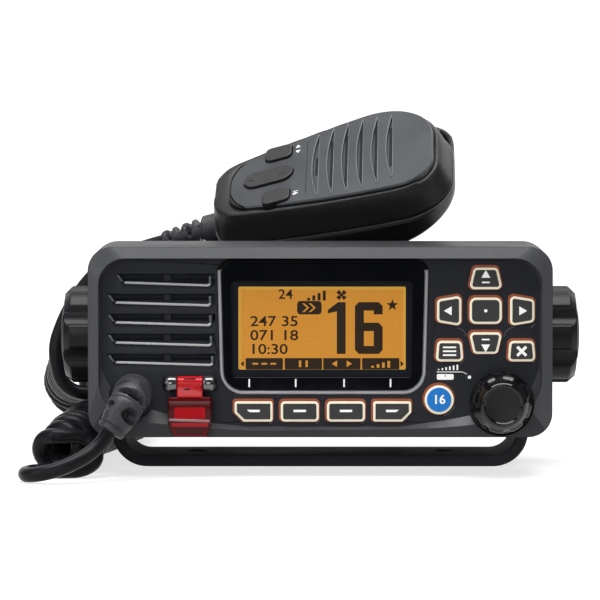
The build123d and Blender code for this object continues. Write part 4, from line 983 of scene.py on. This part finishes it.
# the marks on the key caps and beside the keys
def makeLegends():
    left, middle, right = keySet["columns"]
    row, lowRow = keySet["row"], keySet["lowRow"]

    def legend(name, outlines, roundness=0.0, first=None):
        shape = bmesh.new()
        if first:
            first(shape)
        for outline in outlines:
            plate(shape, outline, 0, markThick, roundness=roundness)
        finishPiece("legend_" + name, shape, "push_" + name, [markWhitePaintedGlow],
                    place=overFront(keySet["capFront"]), outward=False)

    for index in range(4):
        x = -22.3 + 15.45 * index
        dash = box(4.2, 0.8, x, 22.1)
        if index == 0:
            dash = [(x - 1.3, 21.7), (x + 2.1, 21.7), (x + 2.1, 22.5), (x - 2.3, 22.5)]
        if index == 3:
            dash = [(x - 2.1, 21.7), (x + 1.3, 21.7), (x + 2.3, 22.5), (x - 2.1, 22.5)]
        legend(f"soft_{index + 1}", [dash], 0.25)
    legend("up", [triangle(middle, 67.5, 1.7, pi / 2), box(2.6, 0.5, middle, 65.1)])
    legend("down", [triangle(middle, 43.5, 1.7, -pi / 2), box(2.6, 0.5, middle, 46.0)])
    legend("left", [triangle(left, row, 1.75, pi)])
    legend("right", [triangle(right, row, 1.75, 0)])
    legend("enter", [box(1.0, 1.0, middle, row)], 0.3, lambda shape: ringMark(shape, middle, row, 1.75, 1.25, 0.02))
    legend("menu", [box(4.4, 0.55, 43.2, lowRow + step) for step in (-1.3, 0, 1.3)])
    reach, arm = 1.5, 0.34
    legend("clear", [[(right - reach - arm, lowRow - sign * (reach - arm)),
                      (right - reach + arm, lowRow - sign * (reach + arm)),
                      (right + reach + arm, lowRow + sign * (reach - arm)),
                      (right + reach - arm, lowRow + sign * (reach + arm))] for sign in (1, -1)])
    legend("sixteen", [], 0, lambda shape: addNumbers(shape, "16", 3.1, 39.75, 25.8, 0.03, heavy=0.08))

    marks = bmesh.new()
    for step in range(6):
        plate(marks, box(0.55, 0.35 + 0.3 * step, 39.6 + 1.25 * step, 35.9 + 0.15 * step), 0, markThick)
    plate(marks, box(8.6, 0.24, 43.3, 35.1), 0, markThick)
    plate(marks, [(47.5, 35.22), (47.6, 34.98), (49.0, 34.3), (49.1, 34.52)], 0, markThick)
    plate(marks, box(5.6, 1.9, 41.8, 33.45), 0, markThick, roundness=0.4)
    ringMark(marks, 49.9, 33.35, 1.7, 1.35, 0.03)
    plate(marks, box(1.1, 1.1, 49.9, 33.35), 0, markThick, roundness=0.45)
    finishPiece("panelMarks", marks, "radio", [markWhitePaintedGlow],
                place=overFront(), outward=False)
    # pale slanted lips at the lower right of keys and arcs round three keys: painted highlights
    lips = bmesh.new()
    for x, z in ((71.1, 50.7), (47.4, 38.4), (71.6, 38.8), (-16.3, 18.4), (-0.9, 18.4), (14.4, 18.4), (28.7, 19.4)):
        plate(lips, [(x - 0.75, z - 0.6), (x - 0.6, z - 0.75), (x + 0.2, z - 0.2), (x + 0.7, z + 0.6),
                     (x + 0.5, z + 0.65), (x, z)], 0, 0.12, edge=0.05)
    for x, z, radius, start, end in ((39.75, 25.8, 5.6, -74, -22), (45.6, 46.6, 3.2, 88, 8),
                                     (65.2, 46.3, 3.8, 172, 92)):
        section = [(x * mm + r * mm * cos(radians(start)), z * mm + r * mm * sin(radians(start)), w * mm)
                   for r, w in ((radius - 0.13, 0.0), (radius - 0.08, 0.12), (radius + 0.08, 0.12),
                                (radius + 0.13, 0.0))]
        spinLine(lips, section, (0, 0, 1), radians(end - start), 14, point(x, z, 0), merge=False)
    finishPiece("keyHighlightLips", lips, "radio", [lipHighlightSlate], place=overFront())
    power = bmesh.new()
    ringMark(power, 41.8, 33.4, 0.68, 0.44, 0.05)
    plate(power, box(0.24, 0.75, 41.8, 33.85), 0.05, 0.07)
    finishPiece("powerMark", power, "radio", [fieldBlack],
                place=overFront(-47.62), outward=False)


makeKeyGlow()
makeLegends()
print("keys marked")


# volume knob
volumeSet = {
    "middle": (60.35, -20.2), "base": -48.7, "notches": 8, "notchDepth": 0.062, "steps": 144,
    # radius and distance from the panel along its side, from the middle of its front
    "profile": ((0.01, 12.45), (5.7, 12.45), (5.95, 12.62), (6.15, 12.95), (6.5, 13.1), (6.95, 12.95), (7.35, 12.5),
                (8.2, 10.9), (8.75, 10.0), (9.25, 9.7), (9.55, 9.2), (9.7, 8.2), (9.85, 5.6), (10.0, 3.4),
                (10.1, 2.6), (10.4, 2.3), (10.4, 1.0), (10.3, 0.2), (10.0, 0.05)),
}


def makeVolumeKnob():
    shape = bmesh.new()
    profile = [(radius * mm, 0, depth * mm) for radius, depth in volumeSet["profile"]]
    spinLine(shape, profile, (0, 0, 1), 2 * pi, volumeSet["steps"])
    bmesh.ops.remove_doubles(shape, verts=shape.verts, dist=1e-6)
    for vertex in shape.verts:
        flatPlace = Vector((vertex.co.x, vertex.co.y, 0))
        depth = vertex.co.z / mm
        if 2.9 < depth < 9.9 and flatPlace.length > 8.6 * mm:
            turn = Vector((1, 0)).angle_signed(flatPlace.to_2d(), 0)
            wave = min(1.0, max(0.0, 2.2 * cos(volumeSet["notches"] * turn + 1.2) - 0.6))
            vertex.co.xy *= 1 - volumeSet["notchDepth"] * wave
    bmesh.ops.holes_fill(shape, edges=[e for e in shape.edges if e.is_boundary])
    for face in shape.faces:
        middle = face.calc_center_median()
        if middle.z > 12.2 * mm and middle.to_2d().length < 5.75 * mm:
            face.material_index = 1
    knob = finishPiece("volumeKnob", shape, "volume", [glossBlack, volumeBlack], smooth=50,
                       place=onFront(*volumeSet["middle"], volumeSet["base"]))
    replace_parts(knob, "volume_knob")


makeVolumeKnob()


# distress cover's hinge
hingeSet = {"middle": (-43.4, -13.9), "axisDepth": -50.3, "radius": 2.85, "inner": 4.4, "outer": 8.85}


# the two glossy bosses that hold the cover's pin
def makeHingeBosses():
    shape = bmesh.new()
    for side in (-1, 1):
        start, end, radius = hingeSet["inner"], hingeSet["outer"], hingeSet["radius"]
        profile = [(start, 0.02), (start, radius - 0.3), (start + 0.3, radius)]
        for step in range(9):
            turn = step * pi / 16
            profile.append((end - 2.2 + 2.2 * sin(turn), radius - 2.0 + 2.0 * cos(turn)))
        profile.append((end, 0.02))
        spinLine(shape, [(side * x * mm, 0, r * mm) for x, r in profile], (1, 0, 0), 2 * pi, 40)
    bmesh.ops.remove_doubles(shape, verts=shape.verts, dist=1e-6)
    finishPiece("hingeBosses", shape, "radio", [bossChrome], smooth=60,
                place=onFront(*hingeSet["middle"], hingeSet["axisDepth"]))


# the ribs and the key that show through the cover, as plates: a lit patch over the key, a pink highlight on the
# ridge and red gleams below it, all painted light, and dark bars in the barrel's gaps as painted shade
coverSet = {
    "front": -54.0, "ridge": 19.2, "slopeTurn": 113.6, "middle": -43.4,
    "keyPaintedLight": ((11.0, 4.3), (10.4, 3.8), 21.9),  # outline, lit area and middle height
}


def makeCoverDetails():
    middle, front, ridge = coverSet["middle"], coverSet["front"], coverSet["ridge"]
    outer, inner, keyHeight = coverSet["keyPaintedLight"]
    litKeyPatch = bmesh.new()
    plate(litKeyPatch, box(*outer, middle, keyHeight), 0, 0.03, roundness=0.8)
    # the lighter red patch is painted light on the key behind the cover
    plate(litKeyPatch, box(*inner, middle, keyHeight - 0.1), 0.03, 0.06, roundness=0.7, material=1)
    finishPiece("coverKeyPaintedLight", litKeyPatch, "distress_flap", [coverRed, litRed],
                place=overFront(front))
    # dark bars in the barrel's gaps, as painted shade
    barrelGapShade = bmesh.new()
    plate(barrelGapShade, box(3.9, 0.45, -43.35, 33.1), 0, 0.05)
    plate(barrelGapShade, box(2.1, 0.45, -44.35, 29.7), 0, 0.05)
    finishPiece("barrelGapShade", barrelGapShade, "distress_flap", [printAndSlotShade],
                place=overFront(-52.98))
    # the ridge's pinkish silver is a painted highlight
    ribs = bmesh.new()
    plate(ribs, [(-50.3, 20.0), (-50.3, 19.1), (-36.8, 18.7), (-36.8, 19.6)], -0.1, 0.22, edge=0.18)
    finishPiece("coverRidge", ribs, "distress_flap", [ridgeHighlightPink], place=overFront(front))
    slope = Matrix.Translation(point(middle, front, ridge)) @ Matrix.Rotation(radians(coverSet["slopeTurn"]), 4, "X")
    # red bars below the ridge, bright as painted gleams of light inside the cover
    gleams = bmesh.new()
    plate(gleams, box(12.2, 1.5, 0, -1.45), -0.05, 0.1, edge=0.08, material=1)
    plate(gleams, box(10.6, 0.28, 0, -5.55), -0.05, 0.08, edge=0.06)
    for x in (-5.1, 5.1):
        plate(gleams, box(0.3, 2.4, x, -4.3), -0.05, 0.08, edge=0.06)
    finishPiece("coverPaintedGleams", gleams, "distress_flap", [litRed, paintedGleamRed], place=slope)


makeHingeBosses()
makeCoverDetails()
print("knob and hinge made")


# cord boots
# a moulded boot along a line: its rings are (distance, radius), and its slots are
# (middle distance, half length, middle angle, half angle, depth), all in mm and degrees
def sleeve(name, places, side, rings, slots, body, standsFor):
    sides, step = 72, 0.2  # corners round a ring, and mm from one ring to the next
    walk = Walk(places)
    side = Vector(side).normalized()
    shape = bmesh.new()
    centre, ahead = walk.at(0)
    across = (side - ahead * side.dot(ahead)).normalized()
    start = bmesh.ops.create_circle(shape, segments=sides, radius=rings[0][1] * mm)["verts"]
    angles = {vertex: Vector((1, 0)).angle_signed(vertex.co.to_2d(), 0) * -1 for vertex in start}
    turn = Matrix((across, across.cross(ahead), ahead)).transposed()
    for vertex in start:
        vertex.co = centre + turn @ vertex.co
    rim = shape.edges[:]
    sunk = set()
    marks = [step * count for count in range(1, int(rings[-1][0] / step) + 1)]
    marks = sorted(set(marks) | {distance for distance, radius in rings[1:]})
    for distance in marks:
        centre, ahead = walk.at(distance * mm)
        across = (side - ahead * side.dot(ahead)).normalized()
        turn = Matrix((across, across.cross(ahead), ahead)).transposed()
        before = {vertex for edge in rim for vertex in edge.verts}
        grown = bmesh.ops.extrude_edge_only(shape, edges=rim)["geom"]
        rim = [edge for edge in only(BMEdge, grown) if before.isdisjoint(edge.verts)]
        for vertex in {v for edge in rim for v in edge.verts}:
            old = next(edge.other_vert(vertex) for edge in vertex.link_edges if edge.other_vert(vertex) in before)
            angle = angles[vertex] = angles[old]
            reach = fromTable(rings, distance)
            for middle, half, aim, spread, depth in slots:
                away = (angle - radians(aim) + pi) % (2 * pi) - pi
                inside = 1 - ((distance - middle) / half) ** 2 - (away / radians(spread)) ** 2
                if inside > 0:
                    reach -= depth * min(1.0, inside / 0.22)
                    if inside > 0.1:
                        sunk.add(vertex)
            vertex.co = centre + turn @ Vector((cos(angle) * reach * mm, sin(angle) * reach * mm, 0))
    bmesh.ops.holes_fill(shape, edges=[e for e in shape.edges if e.is_boundary])
    for face in shape.faces:
        if all(vertex in sunk for vertex in face.verts):
            face.material_index = 1
    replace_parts(finishPiece(name, shape, body, [bootGrey, cordBlack], smooth=50), standsFor)


frontBootSet = {
    "points": [(-62.6, -47.6, 27.9), (-62.6, -52.5, 27.9), (-62.9, -57.0, 27.0), (-64.6, -60.6, 23.8),
               (-67.2, -62.4, 19.4), (-70.4, -63.4, 14.8)],
    "side": (0.847, 0, -0.531),
    "rings": ((0, 6.7), (0.9, 6.7), (1.2, 6.5), (1.5, 5.9), (1.9, 5.85), (2.2, 6.2), (2.6, 6.35), (7, 6.3),
              (13.2, 5.95), (13.5, 5.6), (13.8, 5.65), (14.1, 5.95), (18, 5.45), (21.2, 4.9), (21.4, 4.5),
              (21.9, 4.45), (22.1, 4.85), (23.2, 4.7), (23.5, 4.4), (23.6, 2.7)),
    "slots": ((8.3, 1.2, -40, 48, 2.8), (8.6, 0.8, -152, 30, 2.2), (11.8, 1.05, -84, 62, 2.6),
              (15.9, 0.85, -150, 17, 2.6), (16.8, 1.9, -50, 42, 3.2)),
}
micBootSet = {
    "start": (-40.9, 0.0, -15.0), "length": 25.0,
    "rings": [(0, 5.4), (8.4, 5.4), (8.8, 5.0), (9.1, 4.9)],
    "slots": [],
}
for rib in range(4):
    ribStart = 10.4 + rib * 3.9
    ribRadius = 5.0 - 0.38 * rib
    micBootSet["rings"] += [(ribStart - 1.3, ribRadius), (ribStart + 1.6, ribRadius - 0.1)]
    for middle in ((90, 270) if rib % 2 else (60, 240)):
        micBootSet["slots"].append((ribStart - 0.3, 1.25, middle, 70, 2.2))
micBootSet["rings"] += [(24.4, 3.55), (24.9, 3.2), (25.0, 2.6)]

sleeve("frontBoot", smoothLine(frontBootSet["points"]), frontBootSet["side"], frontBootSet["rings"],
       frontBootSet["slots"], "radio", "cord_boot")
bootStart = Vector(micBootSet["start"])
bootLine = [onMic(*bootStart) @ Vector((-step * micBootSet["length"] / 8 * mm, 0, 0)) for step in range(9)]
sleeve("microphoneBoot", bootLine, micAxes["far"], micBootSet["rings"], micBootSet["slots"], "mic", "mic_boot")
print("boots made")


# microphone
micSet = {
    "voxel": 0.55, "rounds": 9, "softRounds": 26, "softLevels": (-8.5, -18.5),
    "sideRounds": 90, "sideLevels": (-10.8, -1.3),  # the side wall, between the seam and the face's edge
    "faceTail": (-12.0, 35.0, 21.1),  # where the face starts to round off, where it ends, and its half width there
    "groove": 0.5, "keyGap": 0.3, "keyTravel": 0.75,
    # first slot, pitch, half length, its change along the row, bow
    "slots": (-1.8, 5.5, 18.6, 2.6, 2.2),
    "slits": ((-5.1, 5.9), (-14.5, 14.4), (-17.0, 15.3), (-17.6, 16.6), (-16.6, 16.0), (-11.3, 12.7)),
}


# a key's outline grown all round and carried down, as the room it needs in the case
def keyRoom(source):
    key, axis = merged(source, 0), Vector(micAxes["face"])
    middle = sum((v.co for v in key.verts), Vector()) / len(key.verts)
    room = bmesh.new()
    for vertex in key.verts:
        away = vertex.co - middle
        flat = (away - axis * away.dot(axis)).normalized()
        for height in (3, -micSet["keyTravel"]):
            room.verts.new(vertex.co + (flat * micSet["keyGap"] + axis * height) * mm)
    key.free()
    bmesh.ops.convex_hull(room, input=room.verts)
    bmesh.ops.delete(room, geom=[v for v in room.verts if not v.link_faces], context="VERTS")
    bmesh.ops.recalc_face_normals(room, faces=room.faces)
    return room


def smooth(shape, vertices, rounds):
    for step in range(rounds):
        bmesh.ops.smooth_vert(shape, verts=vertices, factor=0.5, use_axis_x=True, use_axis_y=True, use_axis_z=True)


# the case as one softly rounded moulding either side of its seam
def makeMicCase():
    soft = micSet["softLevels"]
    axis, origin = Vector(micAxes["face"]), point(*micAxes["origin"])
    for name, source, level, side in (("micFrontShell", "mic_front_case", soft[0], 1),
                                      ("micRearShell", "mic_rear_case", soft[1], -1)):
        def change(holder):
            remesh = holder.modifiers.new("even", "REMESH")
            remesh.mode = "VOXEL"
            remesh.voxel_size = micSet["voxel"] * mm
        shape = settle(merged(source, 0), change)
        smooth(shape, shape.verts[:], micSet["rounds"])
        away = [v for v in shape.verts if side * ((v.co - origin).dot(axis) / mm - level) > 0]
        smooth(shape, away, micSet["softRounds"])
        if side > 0:
            low, high = micSet["sideLevels"]
            wall = [v for v in shape.verts if low < (v.co - origin).dot(axis) / mm < high]
            smooth(shape, wall, micSet["sideRounds"])
            for key in ("mic_hilo_key", "mic_sixteen_key"):
                shape = carve(shape, keyRoom(key))
        shell = finishPiece(name, shape, "mic", [micBody], smooth=180, outward=False)
        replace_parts(shell, source)


# an outline that covers the face's head and rounds off its tail, grown by so many mm
def faceOutline(grow):
    start, end, half = micSet["faceTail"]
    corners = [(60, -(half + 12)), (60, half + 12), (start + 22, half + 12), (start, half + grow)]
    for step in range(1, 24):
        turn = pi / 2 + step * pi / 24
        corners.append((start + (end + start + grow) * cos(turn), (half + grow) * sin(turn)))
    return corners + [(start, -half - grow), (start + 22, -half - 12)]


# the slate face and, beyond its groove, the part of its rim that belongs to the case
def makeMicFace():
    def cutter(grow):
        shape = bmesh.new()
        plate(shape, faceOutline(grow), -8, 8)
        bmesh.ops.recalc_face_normals(shape, faces=shape.faces)
        bmesh.ops.transform(shape, matrix=onMic(), verts=shape.verts)
        return shape

    face = finishPiece("micFace", carve(merged("mic_face_panel", 0), cutter(0), "INTERSECT"), "mic",
                       [micFace], outward=False)
    rim = finishPiece("micFaceRim", carve(merged("mic_face_panel", 0), cutter(micSet["groove"])), "mic",
                      [micBody], outward=False)
    for piece in (face, rim):
        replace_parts(piece, "mic_face_panel")


# raised lips along the sound slots in a light slate as painted highlight, dark plates under their slits as painted
# shade, and a thin dark line across the face
def makeMicSlots():
    first, pitch, half, swell, bow = micSet["slots"]
    lips, slits = bmesh.new(), bmesh.new()
    for index, (low, high) in enumerate(micSet["slits"]):
        x = first + index * pitch
        reach = half + swell * sin(pi * (index + 0.4) / 6)
        radius = (reach * reach + bow * bow) / (2 * bow)
        turn = asin(reach / radius)
        middle = x - bow + radius
        section = [((middle + (radius + r) * cos(pi - turn)) * mm, (radius + r) * sin(pi - turn) * mm, w * mm)
                   for r, w in ((-0.02, -0.4), (-0.02, 0.16), (0.1, 0.26), (0.24, 0.26), (0.34, 0.14), (0.34, -0.4))]
        ends = spinLine(lips, section, (0, 0, 1), 2 * turn, 22, point(middle, 0, 0), merge=False, closed=True)
        bmesh.ops.holes_fill(lips, edges=ends)
        plate(lips, box(0.26, 2 * reach - 1.2, x + 0.16, 0), -0.4, 0.2, edge=0.09)
        plate(slits, box(0.95, high - low, x - 0.85, (low + high) / 2), -0.98, -0.9, roundness=0.4)
    plate(slits, box(0.22, 33.0, -6.2, 0.6), -0.02, 0.012)
    finishPiece("micSlotHighlightLips", lips, "mic", [lipHighlightSlate], place=onMic())
    finishPiece("micSlitShade", slits, "mic", [printAndSlotShade], place=onMic())


def makeMicMarks():
    raised = bmesh.new()
    for x, turn in ((-26.0, pi), (-15.4, 0)):
        plate(raised, triangle(x, 0, 1.7, turn), 0, 0.16, edge=0.08)
    for offset in (-0.75, 0.75):
        plate(raised, box(0.45, 6.0, -20.4 + offset, 0), 0, 0.16, edge=0.08)
    finishPiece("rockerMarks", raised, "mic_rocker", [micKey], place=onMic(0, 0, 1.0))
    printed = bmesh.new()
    plate(printed, triangle(-9.8, 15.2, 1.0, pi / 2), 0, markThick)
    plate(printed, triangle(-9.8, 12.2, 1.0, -pi / 2), 0, markThick)
    mesh = numberMesh("16", 2.0)
    mesh.transform(Matrix.Translation(point(-10.0, -13.6, 0.03)) @ Matrix.Rotation(radians(-90), 4, "Z"))
    printed.from_mesh(mesh)
    finishPiece("micMarks", printed, "mic", [markWhitePaintedGlow], place=onMic(0, 0, 0.0), outward=False)


makeMicCase()
makeMicFace()
makeMicSlots()
makeMicMarks()
print("microphone made")


# floor, backdrop and light
stageSet = {
    "front": -0.36, "back": 3.2, "side": 4, "fade": (0.14, 0.6),
    "floor": 0.30, "backdrop": 0.86, "turnsAt": 1.6,
    "skyLight": 0.10,
    # place, aim, size and power
    "lamps": {
        "overhead": ((0.0, -0.14, 1.15), (0, 0, 0.06), (1.3, 0.9), 30),
        "frontLow": ((-0.25, -1.45, 0.4), (0, 0, 0.04), (0.8, 0.45), 4.2),
        "leftFill": ((-1.15, -0.75, 0.55), (0, 0, 0.06), (0.5, 0.9), 5.5),
        "rightFill": ((1.15, -0.6, 0.45), (0, 0, 0.05), (0.4, 0.8), 1.0),
        "backTop": ((0.45, 0.55, 0.95), (0.05, 0, 0.08), (0.5, 0.35), 1.5),
    },
}


# a pale matt surface that reads as white behind the object and keeps its shadow
def paleSurface(name, colour, lift):
    material = bpy.data.materials.new(name)
    material.use_nodes = True
    tree = material.node_tree
    shader = tree.nodes["Principled BSDF"]
    shader.inputs["Base Color"].default_value = (*colour, 1)
    shader.inputs["Roughness"].default_value = 0.8
    shader.inputs["Specular IOR Level"].default_value = 0.1
    seen = tree.nodes.new("ShaderNodeLightPath")
    direct = mathNode(tree, "MAXIMUM", seen.outputs["Is Camera Ray"], seen.outputs["Is Glossy Ray"])
    behind = mathNode(tree, "MAXIMUM", direct, seen.outputs["Is Transmission Ray"])
    place = tree.nodes.new("ShaderNodeSeparateXYZ")
    tree.links.new(tree.nodes.new("ShaderNodeTexCoord").outputs["Object"], place.inputs[0])
    # the floor fades to plain white away from the object
    faded = rangeNode(tree, place.outputs["Y"], *stageSet["fade"], lift, 1.0)
    tree.links.new(mathNode(tree, "MULTIPLY", behind, faded), shader.inputs["Emission Strength"])
    shader.inputs["Emission Color"].default_value = (1, 1, 1, 1)
    return material


def makeStage():
    shape = bmesh.new()
    front, back, side = stageSet["front"], stageSet["back"], stageSet["side"]
    corners = [shape.verts.new((x, y, 0)) for x, y in ((-side, front), (side, front), (side, back), (-side, back))]
    shape.faces.new(corners)
    far = [edge for edge in shape.edges if all(vertex.co.y > 3 for vertex in edge.verts)]
    raised = bmesh.ops.extrude_edge_only(shape, edges=far)["geom"]
    bmesh.ops.translate(shape, vec=(0, 0.6, 4.5), verts=only(BMVert, raised))
    bmesh.ops.bevel(shape, geom=far, offset=1.2, segments=16, profile=0.5, affect="EDGES", material=-1)
    mesh = bpy.data.meshes.new("sweep")
    shape.to_mesh(mesh)
    shape.free()
    mesh.materials.append(paleSurface("floorWhite", [stageSet["floor"]] * 3, 0.72))
    mesh.materials.append(paleSurface("backdropWhite", [stageSet["backdrop"]] * 3, 1.0))
    for face in mesh.polygons:
        face.material_index = 1 if face.center.y > stageSet["turnsAt"] else 0
    mesh.shade_smooth()
    link("sweep", mesh)


makeStage()
for name, (place, aim, size, power) in stageSet["lamps"].items():
    lamp = bpy.data.lights.new(name, "AREA")
    lamp.shape = "RECTANGLE"
    lamp.size, lamp.size_y = size
    lamp.energy = power
    holder = link(name, lamp)
    holder.location = place
    holder.rotation_euler = (Vector(aim) - Vector(place)).to_track_quat("-Z", "Y").to_euler()
world = bpy.data.worlds.new("studio")
scene.world = world
world.use_nodes = True
worldTree = world.node_tree
sky = worldTree.nodes["Background"]
worldPath = worldTree.nodes.new("ShaderNodeLightPath")
skyMix = worldTree.nodes.new("ShaderNodeMix")
skyMix.inputs[2].default_value = stageSet["skyLight"]
skyMix.inputs[3].default_value = 1.0
worldTree.links.new(worldPath.outputs["Is Camera Ray"], skyMix.inputs[0])
worldTree.links.new(skyMix.outputs[0], sky.inputs["Strength"])
sky.inputs["Color"].default_value = (1, 1, 1, 1)
print("stage and light set")
